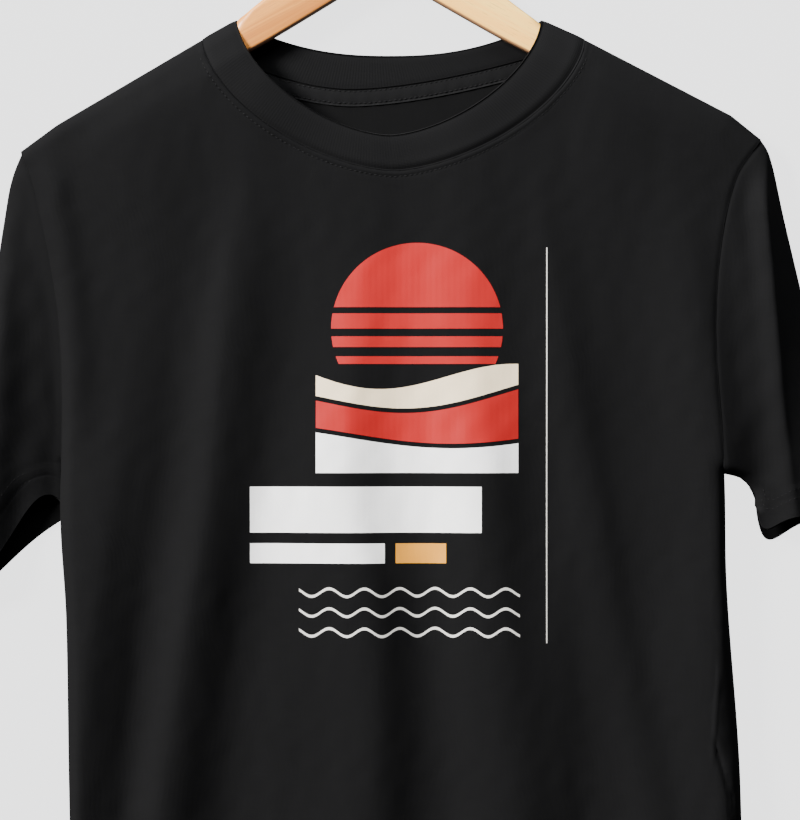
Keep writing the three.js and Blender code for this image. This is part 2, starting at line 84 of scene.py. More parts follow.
def added(name, data):
    made = bpy.data.objects.new(name, data)
    bpy.context.scene.collection.objects.link(made)
    return made


# camera and lights
view = {"height": 535.5, "centre": (5.9, -256.0), "level": 12, "distance": 2600, "sensor": 36,
        "farthest": 40, "surround": 0.14}
cameraData = bpy.data.cameras.new("view from above")
cameraData.sensor_width = view["sensor"]
cameraData.lens = view["sensor"] * view["distance"] / view["height"]
cameraData.clip_end = view["farthest"]
camera = added("view from above", cameraData)
camera.location = toFrame([*view["centre"], view["level"] + view["distance"]])
bpy.context.scene.camera = camera

lights = {
    "key": {"towards": (-0.97, 0.55, 0.66), "distance": 9.0, "size": 2.5, "power": 3560,
            "colour": (1.0, 0.985, 0.965)},
    "fill": {"towards": (0.05, 1.0, 0.5), "distance": 1.35, "size": 1.0, "power": 25,
             "colour": (0.96, 0.98, 1.0)},
}
middle = Vector(toFrame([*view["centre"], 0]))
for name, spec in lights.items():
    lampData = bpy.data.lights.new(name, "AREA")
    lampData.shape = "DISK"
    lampData.size = spec["size"]
    lampData.energy = spec["power"]
    lampData.color = spec["colour"]
    lamp = added(name, lampData)
    towards = Vector(spec["towards"]).normalized()
    lamp.location = middle + towards * spec["distance"]
    lamp.rotation_mode = "QUATERNION"
    lamp.rotation_quaternion = towards.to_track_quat("Z", "Y")
world = bpy.data.worlds.new("studio")
world.use_nodes = True
background = world.node_tree.nodes["Background"]
background.inputs["Color"].default_value = (1, 1, 1, 1)
background.inputs["Strength"].default_value = view["surround"]
bpy.context.scene.world = world
print("camera and lights placed")


# shader helpers
class Value:
    # a node's output that Python maths can be written with
    def __init__(self, finish, socket):
        self.finish = finish
        self.socket = socket

    def maths(self, operation, *others):
        return self.finish.node("Math", {"operation": operation}, [self, *others])

    def __add__(self, other):
        return self.maths("ADD", other)

    def __sub__(self, other):
        return self.maths("SUBTRACT", other)

    def __mul__(self, other):
        return self.maths("MULTIPLY", other)

    def __radd__(self, other):
        return self + other

    def __rmul__(self, other):
        return self * other

    def __rsub__(self, other):
        return self * -1 + other

    def __gt__(self, other):
        return self.maths("GREATER_THAN", other)

    def held(self, low, high):
        return self.maths("MAXIMUM", low).maths("MINIMUM", high)


class Finish:
    # a material under construction
    def __init__(self, name):
        self.material = bpy.data.materials.new(name)
        self.material.use_nodes = True
        self.tree = self.material.node_tree
        self.tree.nodes.clear()

    def node(self, kind, settings=None, sockets=None, output=0):
        # settings are set first; sockets is a list in order or a dictionary by name
        made = self.tree.nodes.new("ShaderNode" + kind)
        for key, value in (settings or {}).items():
            setattr(made, key, value)
        pairs = sockets.items() if isinstance(sockets, dict) else enumerate(sockets or [])
        for key, value in pairs:
            if isinstance(value, Value):
                self.tree.links.new(value.socket, made.inputs[key])
            else:
                made.inputs[key].default_value = value
        return Value(self, made.outputs[output] if made.outputs else None)

    def position(self):
        return self.node("TexCoord", output="Object")

    def axes(self, vector):
        return [self.node("SeparateXYZ", sockets=[vector], output=k) for k in range(3)]

    def noise(self, vector, scale, detail=3, roughness=0.6, distortion=0.0):
        return self.node("TexNoise", sockets={
            "Vector": vector, "Scale": scale, "Detail": detail, "Roughness": roughness,
            "Distortion": distortion})

    def stretched(self, x, y, z):
        return self.node("CombineXYZ", sockets=[x, y, z])

    def wave(self, value, pitch):
        # from 0 to 1 and back in every pitch
        return (value * (2 * math.pi / pitch)).maths("SINE") * 0.5 + 0.5

    def blend(self, share, first, second):
        return self.node("Mix", {"data_type": "RGBA"}, {
            0: share, 6: colour4(first), 7: colour4(second)}, output=2)

    def shades(self, share, rgb, dark, light):
        # from a darker to a lighter shade of one colour
        base = linear(rgb)
        return self.blend(share, [dark * c for c in base], [min(1.0, light * c) for c in base])

    def relief(self, strength, distance, height):
        return self.node("Bump", sockets={"Strength": strength, "Distance": distance,
                                          "Height": height})

    def principled(self, sockets):
        return self.close(self.node("BsdfPrincipled", sockets=sockets))

    def close(self, surface):
        self.node("OutputMaterial", sockets=[surface])
        return self.material


def linear(rgb):
    # 0 to 255 as in a picture, to scene values
    return tuple(((c / 255 + 0.055) / 1.055) ** 2.4 if c > 10.3 else c / 255 / 12.92 for c in rgb)


def colour4(value):
    return value if isinstance(value, Value) else (*value, 1)


# pattern of the shirt
cloth = {"jersey": 1.0, "hem": 1.8, "rib": 2.2, "tape": 0.8, "hemWidth": 22,
         "tapeWidth": 9.5, "layerGap": 0.3}
leftEdge = [(-205, -735), (-210, -500), (-212, -392), (-216, -327), (-215, -250), (-218, -190),
            (-233, -112), (-241.6, -87.5)]
rightEdge = [(231, -735), (228, -500), (219, -370), (217.4, -297), (211.6, -213), (214.8, -151),
             (225.7, -103), (241.6, -79.7)]
leftUnderarm, rightUnderarm = -290, -297
hemDip, rowCrowding = 5, 1.5
hanger = {"span": 440, "thick": 12, "tipY": -67, "slope": 28.15, "turn": 0.8, "centre": 1.1,
          "clear": 2.7, "rounding": 5.5, "tipRadius": 9.5, "hubHalf": 16, "hubTop": 55,
          "hubShift": -5.9, "shiftFull": 100, "shiftGone": 140}
neckPower = 1.63
seamCurve = {"x": 1.7, "half": 124.6, "top": -14.3, "depth": 85.4, "backSag": 31.8,
             "backLow": -25, "backPowers": (1.9, 1.6)}
freeCurve = {"x": -1.3, "half": 99.5, "top": -1.8, "depth": 75.3, "backSag": 22.5,
             "backLow": -1.3, "backPowers": (2.37, 2.37)}
levels = {"chest": 14.5, "waist": 12, "hem": 11, "side": 5.5, "sideRound": 14,
          "sideRounds": (8, 14), "sidePowers": (6, 3.5), "shoulderRound": 9, "shoulderPower": 2.5,
          "tipLift": 1.6, "tipNear": (25, 100), "tipSide": (214, 244), "shoulderLift": 3.7,
          "shoulderNear": (25, 180), "flatSide": (150, 244), "band": 21, "bandSlope": 0.28,
          "underside": 0.3}
hangerBottom = cloth["rib"] + 2 * cloth["layerGap"]
hangerMiddle = hangerBottom + hanger["thick"] / 2
# x of the crest from top to hem, rise, reach to its left and right, the heights between which it
# grows, and those between which it fades again
crestHeights = (-110, -210, -310, -410, -520)
bodyFolds = [
    ((-157, -169, -186, -199, -207.5), 10, 35, 20, -11, -490),
    ((-93, -107, -117, -133, -149), 9.2, 16, 24, 12, -288),
    ((-73, -66, -78, -92, -109), -3.8, 25, 26, -37, -476),
    ((-12, -26, -31, -13, -12), 9.6, 38, 22, 60, -465),
    ((45, 49, 62, 71, 80), 9, 33, 26, 60, -380),
    ((98, 112, 130, 148, 171), 3.9, 18, 14, 0, -268),
    ((183, 202, 211, 208, 213), 8.5, 29, 17, -76, -247),
    ((-139, -151, -164, -178, -187), 2, 18, 10, -87, -336),
    ((20, 22, 25, 27, 34), -2.1, 23, 17, -250, -399),
    ((110, 110, 113, 106, 111), 2, 24, 13, -288, -470),
    ((119, 126), -2, 28, 26, -430, -520),
]
rightCrest = [(246, -86), (245, -119), (247.5, -158), (251.5, -204), (255, -249), (259.5, -289),
              (265, -330)]
sleeveFolds = [
    (rightCrest, 7.5, 9, 13, -84, -130),
    ([(228, -100), (226, -150), (236, -200), (235, -250), (229, -300)], 3.5, 24, 24, -100, -200),
    ([(238, -240), (238.5, -300), (239, -350)], -2.6, 11, 10, -245, -295, -335, -370),
    ([(-261, -100), (-258, -160), (-256, -220), (-259, -280), (-265, -340)], 9, 8, 14, -74, -290),
    ([(-222, -100), (-211, -160), (-206, -220), (-206, -300)], 3.5, 10, 10, -79, -117, -225, -300),
]
folds = [(list(zip(xs, crestHeights[-len(xs):])), *rest) for xs, *rest in bodyFolds] + sleeveFolds
# beside the left side the front sinks
crease = {"depth": 6.5, "inside": 3.5, "outside": 13, "grows": (-140, -300)}
# a sharp pleat beside the right side, and the crease that branches off its lower end
pleat = {"line": [(218.6, -350), (216.8, -377), (214.9, -397), (213.3, -427), (212, -443),
                  (209.9, -475), (207, -520)],
         "ridge": 0.8, "width": 1.1, "drop": 1.3, "reach": 12, "starts": (-352, -385),
         "ends": (-474, -492),
         "branch": [(210.4, -472), (214.9, -486), (218.1, -499), (221.4, -511), (223.5, -530)],
         "groove": 1.5, "grooveWidth": 1.4}


def mix(a, b, t):
    return a + (b - a) * t


def ease(start, end, value):
    t = np.clip((np.asarray(value, float) - start) / (end - start), 0, 1)
    return t * t * (3 - 2 * t)


def unit(vectors):
    return vectors / np.maximum(np.linalg.norm(vectors, axis=-1, keepdims=True), 1e-9)


def bump(value, centre, width):
    return np.exp(-(((value - centre) / width) ** 2))


def roundOff(t, power=2):
    return (1 - (1 - np.clip(t, 0, 1)) ** power) ** (1 / power)


def curveX(points, y):
    # x at a given y on the smooth curve through the points
    table = np.array(sorted(points, key=lambda p: p[1]), float)
    xs, ys = table[:, 0], table[:, 1]
    last = len(ys) - 1
    y = np.clip(y, ys[0], ys[-1])
    k = np.clip(np.searchsorted(ys, y, side="left") - 1, 0, last - 1)
    below = np.maximum(np.arange(last + 1) - 1, 0)
    above = np.minimum(np.arange(last + 1) + 1, last)
    slope = (xs[above] - xs[below]) / (ys[above] - ys[below])
    run = ys[k + 1] - ys[k]
    t = (y - ys[k]) / run
    return ((2 * t ** 3 - 3 * t ** 2 + 1) * xs[k] + (t ** 3 - 2 * t ** 2 + t) * run * slope[k]
            + (3 * t ** 2 - 2 * t ** 3) * xs[k + 1] + (t ** 3 - t ** 2) * run * slope[k + 1])


def distanceTo(line, x, y):
    nearest = np.full(np.broadcast(x, y).shape, np.inf)
    for (ax, ay), (bx, by) in zip(line[:-1], line[1:]):
        lengthSquared = (bx - ax) ** 2 + (by - ay) ** 2
        t = np.clip(((x - ax) * (bx - ax) + (y - ay) * (by - ay)) / lengthSquared, 0, 1)
        nearest = np.minimum(nearest, np.hypot(x - mix(ax, bx, t), y - mix(ay, by, t)))
    return nearest


def turned(x, y):
    angle = math.radians(hanger["turn"])
    return (hanger["centre"] + x * math.cos(angle) - y * math.sin(angle),
            x * math.sin(angle) + y * math.cos(angle))


def onHanger(x, y):
    # the hub, and the arms up to the collar, sit a little to the left
    shift = hanger["hubShift"] * (1 - ease(hanger["shiftFull"], hanger["shiftGone"], np.abs(x)))
    placedX, placedY = turned(x, y)
    return placedX + shift, placedY


def shoulderLine(side):
    end = (leftEdge if side < 0 else rightEdge)[-1]
    return [(freeCurve["x"] + side * freeCurve["half"], freeCurve["top"]),
            (seamCurve["x"] + side * seamCurve["half"], seamCurve["top"]),
            turned(side * hanger["span"] / 2, hanger["tipY"]), end]


shoulders = {-1: shoulderLine(-1), 1: shoulderLine(1)}


def toShoulder(x, y):
    # just 0 along the shoulder seam, which the panels' top edges meet within the last 0.06 mm
    found = np.where(x < 0, distanceTo(shoulders[-1], x, y), distanceTo(shoulders[1], x, y))
    return np.maximum(found - 0.06, 0)


def shoulderY(x):
    found = np.zeros_like(x)
    for side in (-1, 1):
        line = sorted(shoulders[side][1:], key=lambda p: p[0])
        level = np.interp(x, [p[0] for p in line], [p[1] for p in line])
        found = np.where((x < seamCurve["x"]) == (side < 0), level, found)
    return found


def toSide(x, y):
    # distance to the nearer side fold, just 0 along the fold itself
    found = np.inf
    for edge, underarm in ((leftEdge, leftUnderarm), (rightEdge, rightUnderarm)):
        level = np.minimum(y, underarm)
        found = np.minimum(found, np.hypot(x - curveX(edge, level), y - level))
    return np.maximum(found - 0.001, 0)


def foldHeight(x, y):
    height = 0
    for crest, rise, left, right, start, full, *fade in folds:
        off = x - curveX(crest, y)
        grown = ease(start, full, y) * (1 - ease(*fade, y) if fade else 1)
        height = height + rise * grown * bump(off, 0, np.where(off < 0, left, right))
    return height


def creaseDepth(x, y):
    off = curveX(leftEdge, y) - x
    reach = np.where(off < 0, crease["inside"], crease["outside"])
    return crease["depth"] * ease(*crease["grows"], y) * bump(off, 0, reach)


def ripples(x, y, seed, count, across, along, lean=0.25):
    # soft unevenness from a few slow waves, longer down the shirt than across it
    chance = np.random.default_rng(seed)
    height = 0
    for _ in range(count):
        waveX = 2 * math.pi / chance.uniform(*across) * chance.choice([-1, 1])
        waveY = 2 * math.pi / chance.uniform(*along)
        height = height + np.sin(waveX * (x + lean * chance.uniform(-1, 1) * y) + waveY * y
                                 + chance.uniform(0, 2 * math.pi))
    return height / math.sqrt(count)


def frontLevel(x, y):
    # middle of the front cloth before its edges turn down
    base = mix(mix(levels["chest"], levels["waist"], ease(-130, -400, y)), levels["hem"],
               ease(-560, -735, y))
    arm = toShoulder(x, y)
    off = np.abs(x)
    # the hanger's arms lift the cloth, and it slopes down over them in an even band
    tipLift = levels["tipLift"] * (1 - ease(*levels["tipNear"], arm))
    lift = levels["shoulderLift"] * (1 - ease(*levels["shoulderNear"], arm))
    short = levels["band"] - arm
    slope = levels["bandSlope"] * (short + np.sqrt(short * short + 4)) / 2
    return base + tipLift * (1 - ease(*levels["tipSide"], off)) + (lift - slope) * (
        1 - ease(*levels["flatSide"], off)) + foldHeight(x, y) - creaseDepth(x, y)


def frontNeckY(curve, x):
    across = np.minimum(np.abs(x - curve["x"]) / curve["half"], 1)
    return curve["top"] - curve["depth"] * (1 - across ** neckPower) ** (1 / neckPower)


def backNeckY(curve, x):
    # the lowest point lies a little to the left of the middle
    off = x - curve["backLow"]
    run = curve["half"] + np.where(off < 0, -1, 1) * (curve["x"] - curve["backLow"])
    across = np.minimum(np.abs(off) / run, 1)
    return curve["top"] - curve["backSag"] * (1 - across ** np.where(off < 0, *curve["backPowers"]))


def neckLine(curve, front, count=160):
    # the curve from left to right as points
    angle = np.linspace(0, math.pi, count)
    power = 2 / neckPower if front else 1
    x = curve["x"] - curve["half"] * np.sign(np.cos(angle)) * np.abs(np.cos(angle)) ** power
    return list(zip(x, frontNeckY(curve, x) if front else backNeckY(curve, x)))


def hemLow(x):
    # the hem dips towards its middle
    return leftEdge[0][1] - hemDip * (1 - ((x - 13) / 218) ** 2)


frontSeam = neckLine(seamCurve, True)
seamLook = {"ridge": 0.25, "groove": 0.5, "stitchAt": 4.2, "pucker": 0.16, "puckerPitch": 6.5,
            "armGrooves": (0.22, 0.45), "armSide": 0.15}
hemLook = {"first": 21.0, "second": 14.6, "dip": 0.24, "wave": 0.22, "pitch": 9.5}
unevenness = {"slow": 0.45, "quick": 0.10}


def seamRelief(distance, along):
    # raised allowance beside a seam, the dip at its stitches and a little pucker
    ridge = seamLook["ridge"] * bump(distance, 2.1, 1.6)
    groove = -seamLook["groove"] * bump(distance, 0, 1.0) - 0.22 * bump(
        distance, seamLook["stitchAt"], 0.7)
    wave = np.sin(2 * math.pi * along / seamLook["puckerPitch"] + np.sin(along * 0.37) * 1.4)
    return ridge + groove + seamLook["pucker"] * wave * np.exp(-distance / 5)


def frontDetail(x, y):
    # what the solids leave out: seams, hem and slight unevenness of the cloth
    away = 40  # far enough from an armhole seam for its dip to vanish
    neck = distanceTo(frontSeam, x, y)
    detail = seamRelief(neck, x - 0.6 * y) * (neck < 30)
    armLeft = np.abs(x - curveX(leftEdge, y)) + away * ((y < leftUnderarm + 12) | (y > -95))
    armRight = np.abs(x - curveX(rightEdge, y)) + away * (y < rightUnderarm + 6)
    detail = detail - seamLook["armGrooves"][1] * bump(armRight, 0, 1.5)
    detail = detail - seamLook["armGrooves"][0] * bump(armLeft, 0, 1.8)
    detail = detail + seamLook["armSide"] * bump(armRight, 3, 2.2)
    hem = y - hemLow(x)
    for row in (hemLook["first"], hemLook["second"]):
        detail = detail - hemLook["dip"] * bump(hem, row, 0.9)
    wave = np.sin(2 * math.pi * x / hemLook["pitch"] + 1.7 * np.sin(x * 0.045))
    detail = detail + hemLook["wave"] * wave * ease(30, 18, hem) * ease(-1, 5, hem)
    right = x - curveX(pleat["line"], y)
    pleated = ease(*pleat["starts"], y) * (1 - ease(*pleat["ends"], y))
    detail = detail + pleated * (pleat["ridge"] * bump(right, 0, pleat["width"])
                                 - pleat["drop"] * ease(0, pleat["reach"], right))
    branch = distanceTo(pleat["branch"], x, y)
    detail = detail - pleat["groove"] * bump(branch, 0, pleat["grooveWidth"])
    # unevenness fades out at the edges, which have to meet the other pieces
    calm = ease(0, 16, toShoulder(x, y)) * ease(0, 12, toSide(x, y)) * ease(2, 14, neck)
    slow = unevenness["slow"] * ripples(x, y, 11, 9, (55, 130), (150, 420))
    quick = unevenness["quick"] * ripples(x, y, 23, 14, (13, 30), (26, 70), 0.6)
    return detail + calm * (slow + quick)


def overShoulder(x, y, level, power=2):
    turn = roundOff(toShoulder(x, y) / levels["shoulderRound"], power)
    return mix(hangerMiddle, level, turn)


def frontHeight(x, y):
    over = overShoulder(x, y, frontLevel(x, y) + frontDetail(x, y), levels["shoulderPower"])
    turn = roundOff(toSide(x, y) / np.where(x < 0, *levels["sideRounds"]),
                    np.where(x < 0, *levels["sidePowers"]))
    return mix(levels["side"], over, turn)


def backHeight(x, y):
    over = overShoulder(x, y, cloth["jersey"] / 2 + levels["underside"])
    return mix(levels["side"], over, roundOff(toSide(x, y) / levels["shoulderRound"]))


# meshes
def newPiece(name, points, faces, material, uv=None, sharp=False):
    mesh = bpy.data.meshes.new(name)
    mesh.from_pydata(toFrame(points).tolist(), [], faces)
    mesh.update()
    mesh.shade_smooth()
    if sharp:
        mesh.set_sharp_from_angle(angle=math.radians(50))
    if uv is not None:
        layer = mesh.uv_layers.new(name="cloth")
        corners = np.zeros(len(mesh.loops), np.int64)
        mesh.loops.foreach_get("vertex_index", corners)
        layer.data.foreach_set("uv", np.asarray(uv, np.float32)[corners].ravel())
    mesh.materials.append(material)
    return added(name, mesh)


def settled(piece, node=None):
    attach(piece, "root")
    if node:
        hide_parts(node)
    return piece


def circle(count, sideways, up):
    angles = np.linspace(0, 2 * math.pi, count, endpoint=False)[:, None]
    return np.cos(angles) * sideways + np.sin(angles) * up


def ringFaces(rings, around, start=0, flip=False):
    # sides between closed rings of points, and the two ends
    faces = []
    for i in range(rings - 1):
        for j in range(around):
            a, b = start + i * around + j, start + i * around + (j + 1) % around
            faces.append((a, a + around, b + around, b) if flip
                         else (a, b, b + around, a + around))
    first = tuple(range(start, start + around))
    last = tuple(k + (rings - 1) * around for k in first)
    return faces + ([first, last[::-1]] if flip else [first[::-1], last])


def gridNormals(grid, wrap):
    if wrap:
        across = np.roll(grid, -1, 1) - np.roll(grid, 1, 1)
    else:
        across = np.gradient(grid, axis=1)
    along = np.gradient(grid, axis=0)
    normal = np.cross(across, along)
    # a tube's normals are evened out, as its cells get thin and slanted at the cuff's corners
    for _ in range(3 if wrap else 0):
        normal = (np.roll(normal, 1, 1) + 2 * normal + np.roll(normal, -1, 1)) / 4
        padded = np.concatenate([normal[:1], normal, normal[-1:]])
        normal = (padded[:-2] + 2 * normal + padded[2:]) / 4
    return unit(normal)


def slopeNormals(heightOf, x, y):
    # normals from a height function, good where columns of the grid lie close together
    reach = 0.3
    slopeX = (heightOf(x + reach, y) - heightOf(x - reach, y)) / (2 * reach)
    slopeY = (heightOf(x, y + reach) - heightOf(x, y - reach)) / (2 * reach)
    return unit(np.stack([-slopeX, -slopeY, np.ones_like(slopeX)], 2))


def clothPiece(name, grid, thickness, material, wrap=False, relief=0, uv=None, below=0.5,
               normal=None):
    # closed sheet round a grid of points, with a rounded rim; below is the share of the
    # thickness that lies under the points
    rows, columns = grid.shape[:2]
    if normal is None:
        normal = gridNormals(grid, wrap)
    thick, relief = [np.broadcast_to(np.asarray(value, float), (rows, columns))[..., None]
                     for value in (thickness, relief)]
    top = grid + normal * (thick * (1 - below) + relief)
    bottom = grid - normal * (thick * below + relief)
    count = rows * columns
    index = np.arange(count).reshape(rows, columns)
    wide = np.concatenate([index, index[:, :1]], 1) if wrap else index
    a, b = wide[:-1, :-1].ravel(), wide[:-1, 1:].ravel()
    c, d = wide[1:, 1:].ravel(), wide[1:, :-1].ravel()
    faces = np.concatenate([np.stack([a, b, c, d], 1), np.stack([d, c, b, a], 1) + count])
    if wrap:
        loops = [index[0][::-1], index[-1]]
    else:
        loops = [np.concatenate([index[0, ::-1], index[1:, 0], index[-1, 1:],
                                 index[-2:0:-1, -1]])]
    flat = grid.reshape(-1, 3)
    points = [top.reshape(-1, 3), bottom.reshape(-1, 3)]
    faces = [faces]
    made = 2 * count
    parents = [np.arange(count), np.arange(count)]
    for loop in loops:
        i, j = loop // columns, loop % columns
        inner = grid[np.clip(i, 1, rows - 2), j if wrap else np.clip(j, 1, columns - 2)]
        outward = unit(flat[loop] - inner)
        half = thick.reshape(-1, 1)[loop] / 2
        centre = (points[0][loop] + points[1][loop]) / 2
        rim = np.arange(len(loop)) + made
        points.append(centre + outward * half * 0.8)
        parents.append(loop)
        made += len(loop)
        nextLoop, nextRim = np.roll(loop, -1), np.roll(rim, -1)
        faces.append(np.stack([loop, nextLoop, nextRim, rim], 1)[:, ::-1])
        faces.append(np.stack([loop + count, nextLoop + count, nextRim, rim], 1))
    if uv is not None:
        uv = uv.reshape(-1, 2)[np.concatenate(parents)]
    return newPiece(name, np.concatenate(points), np.concatenate(faces).tolist(), material, uv)


def splinePoints(points, count):
    # evenly spaced points on a smooth curve through the given ones
    pts = np.array(points, float)
    last = len(pts) - 1
    u = np.linspace(0, last, 60 * last + 1)
    k = np.minimum(u.astype(int), last - 1)
    t = (u - k)[:, None]
    p0, p1 = pts[np.maximum(k - 1, 0)], pts[k]
    p2, p3 = pts[np.minimum(k + 1, last)], pts[np.minimum(k + 2, last)]
    v0, v1 = (p2 - p0) / 2, (p3 - p1) / 2
    curve = (2 * p1 - 2 * p2 + v0 + v1) * t ** 3 + (-3 * p1 + 3 * p2 - 2 * v0 - v1) * t ** 2 \
        + v0 * t + p1
    return evenly(curve, count)


def lengthsAlong(line):
    return np.concatenate([[0], np.cumsum(np.linalg.norm(np.diff(line, axis=0), axis=1))])


def sampled(line, positions, at):
    return np.stack([np.interp(at, positions, column) for column in np.transpose(line)], -1)


def evenly(line, count):
    length = lengthsAlong(line)
    return sampled(line, length, np.linspace(0, length[-1], count))


# finishes
# the darker colours for the cloth's inner faces, inside the body and inside the sleeves, are
# painted shade, for the inside of the shirt lying in shadow
fabric = {"jersey": (14.9, 14.9, 15.6), "inside": (11.8, 11.8, 12.3), "sleeveInside": (6, 6, 6.4),
          "rib": (16.6, 16.6, 17.3), "tape": (15, 15, 15.8), "thread": (13, 13, 13.8),
          "wale": 0.00078, "course": 0.00062, "sheen": 0.0096}


def fuzz(roughness):
    return {"Specular IOR Level": 0.032, "Sheen Weight": fabric["sheen"],
            "Sheen Roughness": roughness, "Sheen Tint": (0.8, 0.8, 0.82, 1)}


def jerseyFinish(name, rgb):
    f = Finish(name)
    where = f.position()
    x, y, z = f.axes(where)
    # wales, and courses with the small slant of each stitch's legs, both not quite straight
    slant = (x * (1 / fabric["wale"])).maths("PINGPONG", 0.5) * fabric["course"]
    wander = (f.noise(where, 11, 2, 0.5) - 0.5) * 0.012
    wales = f.wave(x + wander, fabric["wale"])
    courses = f.wave(y + slant + wander, fabric["course"])
    pile = f.noise(where, 1500, 3, 0.65)
    cloud = f.noise(where, 14, 4, 0.6)
    slub = f.noise(f.stretched(x * 60, y * 700, z * 60), 1.0, 2, 0.5)
    knit = wales * 0.4 + courses * 0.3 + pile * 0.5 + slub * 0.35
    shade = pile * 0.7 + cloud * 0.5 + slub * 0.4 - 0.3
    return f.principled({
        "Base Color": f.shades(shade, rgb, 0.72, 1.3), "Roughness": cloud * 0.12 + 0.74,
        "Normal": f.relief(0.3, 0.0005, knit), **fuzz(0.55)})


def ribFinish():
    f = Finish("black rib knit")
    where = f.position()
    along, across, _ = f.axes(f.node("UVMap", {"uv_map": "cloth"}))
    pile = f.noise(where, 1400, 3, 0.65)
    cloud = f.noise(where, 18)
    courses = f.wave(across, 0.9)
    valley = f.wave(along, collarLook["pitch"])
    knit = courses * 0.2 + pile * 0.5 + valley * 0.15
    # the colour also rises and falls with the rib pitch, painted shade for the ribs' ridges and
    # valleys
    shade = pile * 0.6 + cloud * 0.4 + valley * 0.15 - 0.075
    return f.principled({
        "Base Color": f.shades(shade, fabric["rib"], 0.72, 1.28),
        "Roughness": cloud * 0.1 + 0.73, "Normal": f.relief(0.4, 0.0005, knit), **fuzz(0.5)})


def tapeFinish():
    f = Finish("black neck tape")
    where = f.position()
    x, y, _ = f.axes(where)
    twill = f.wave(x * 0.8 + y, 0.0009)
    pile = f.noise(where, 1200)
    return f.principled({
        "Base Color": f.shades(twill * 0.5 + pile * 0.5, fabric["tape"], 0.7, 1.25),
        "Roughness": pile * 0.2 + 0.65, "Specular IOR Level": 0.08,
        "Normal": f.relief(0.45, 0.0004, twill * 0.6 + pile * 0.4)})


def threadFinish():
    f = Finish("black thread")
    x, y, _ = f.axes(f.position())
    twist = f.wave(x + y, 0.0006)
    return f.principled({
        "Base Color": f.shades(twist, fabric["thread"], 0.6, 1.5),
        "Roughness": twist * 0.15 + 0.6, "Specular IOR Level": 0.12})


wood = {"left": ((219, 147, 62), (174, 102, 33)), "right": ((255, 209, 108), (255, 184, 80)),
        "middle": 0.3065, "pore": (166, 104, 56), "edge": (140, 102, 78), "roughness": 0.5}


def woodFinish():
    # grain runs down each arm from the hub
    f = Finish("pale varnished wood")
    x, y, z = f.axes(f.position())
    slope = math.radians(hanger["slope"])
    fromHub = x - (hanger["centre"] + hanger["hubShift"] + place["x"]) * place["scale"]
    outwards = fromHub.maths("ABSOLUTE")
    along = outwards * math.cos(slope) - y * math.sin(slope)
    across = outwards * math.sin(slope) + y * math.cos(slope)
    rings = f.noise(f.stretched(along * 3, across * 75, z * 75), 1.0, 3, 0.55, 0.6)
    bands = f.wave(rings + across * 12, 0.21)
    fibres = f.noise(f.stretched(along * 45, across * 1900, z * 1900), 1.0)
    pores = f.noise(f.stretched(along * 90, across * 2600, z * 2600), 1.0, 1, 0.5)
    # the arms meet at the hub, where the colour changes: the right arm is painted lighter than the
    # left, painted light standing in for more light falling on it; across each arm the colour is
    # painted darker towards its lower edge, painted shade; and faces turned downwards are painted
    # dark brown, painted shade as well
    grain = bands * 0.4 + fibres * 0.4 + (wood["middle"] - across) * 22 + 0.08
    tone = f.blend(fromHub > 0, f.blend(grain, *[linear(rgb) for rgb in wood["left"]]),
                   f.blend(grain, *[linear(rgb) for rgb in wood["right"]]))
    spots = ((pores - 0.66) * 5).held(0, 0.55)
    tone = f.blend(spots, tone, linear(wood["pore"]))
    # painted shade: faces turned downwards take a dark brown
    _, up, _ = f.axes(f.node("TexCoord", output="Normal"))
    tone = f.blend(((-0.3 - up) * 4).held(0, 0.92), tone, linear(wood["edge"]))
    return f.principled({
        "Base Color": tone, "Roughness": fibres * 0.15 + wood["roughness"] - 0.075,
        "Normal": f.relief(0.12, 0.0003, fibres - spots), "Coat Weight": 0.25,
        "Coat Roughness": 0.25})


def steelFinish():
    f = Finish("drawn steel wire")
    where = f.position()
    drawn = f.noise(where, 900)
    wear = f.noise(where, 90)
    return f.principled({
        "Base Color": f.blend(wear, (0.50, 0.50, 0.51), (0.66, 0.66, 0.665)), "Metallic": 1.0,
        "Roughness": wear * 0.18 + 0.2, "Normal": f.relief(0.08, 0.0002, drawn)})


def inkFinish(name, rgb):
    # screen print: the knit shows through faintly and the ink is thinner in places
    f = Finish(name)
    where = f.position()
    x, y, _ = f.axes(where)
    grain = f.noise(where, 1300)
    patch = f.noise(where, 45, 4, 0.6)
    weave = f.wave(x, fabric["wale"]) * 0.5 + f.wave(y, fabric["course"]) * 0.4 + grain * 0.4
    return f.principled({
        "Base Color": f.shades(grain * 0.8 + patch * 0.8 - 0.3, rgb, 0.86, 1.05),
        "Roughness": grain * 0.2 + 0.52, "Normal": f.relief(0.2, 0.0004, weave),
        "Specular IOR Level": 0.35})


collarLook = {"pitch": 1.8, "samples": 5, "tries": 3000, "relief": 0.045, "hug": 1.0, "sunk": 0.5,
              "roll": 0.5,
              "rows": [0, 0.04, 0.09, 0.15, 0.21, 0.28, 0.38, 0.5, 0.62, 0.74, 0.86, 0.94, 1]}
jersey = jerseyFinish("black jersey", fabric["jersey"])
# painted shade: a darker jersey for the inner faces of the body panels, seen inside the neck
jerseyShadedInside = jerseyFinish("black jersey, wrong side", fabric["inside"])
# painted shade: a near-black jersey for the inner faces of the sleeves, seen through the cuffs
sleeveInside = jerseyFinish("black jersey, inside the sleeves", fabric["sleeveInside"])
rib, tape, thread = ribFinish(), tapeFinish(), threadFinish()
paleWood, steel = woodFinish(), steelFinish()
print("finishes made")

floor = {"half": 14.0, "level": -0.0004, "glow": 2.75, "shade": 0.88}


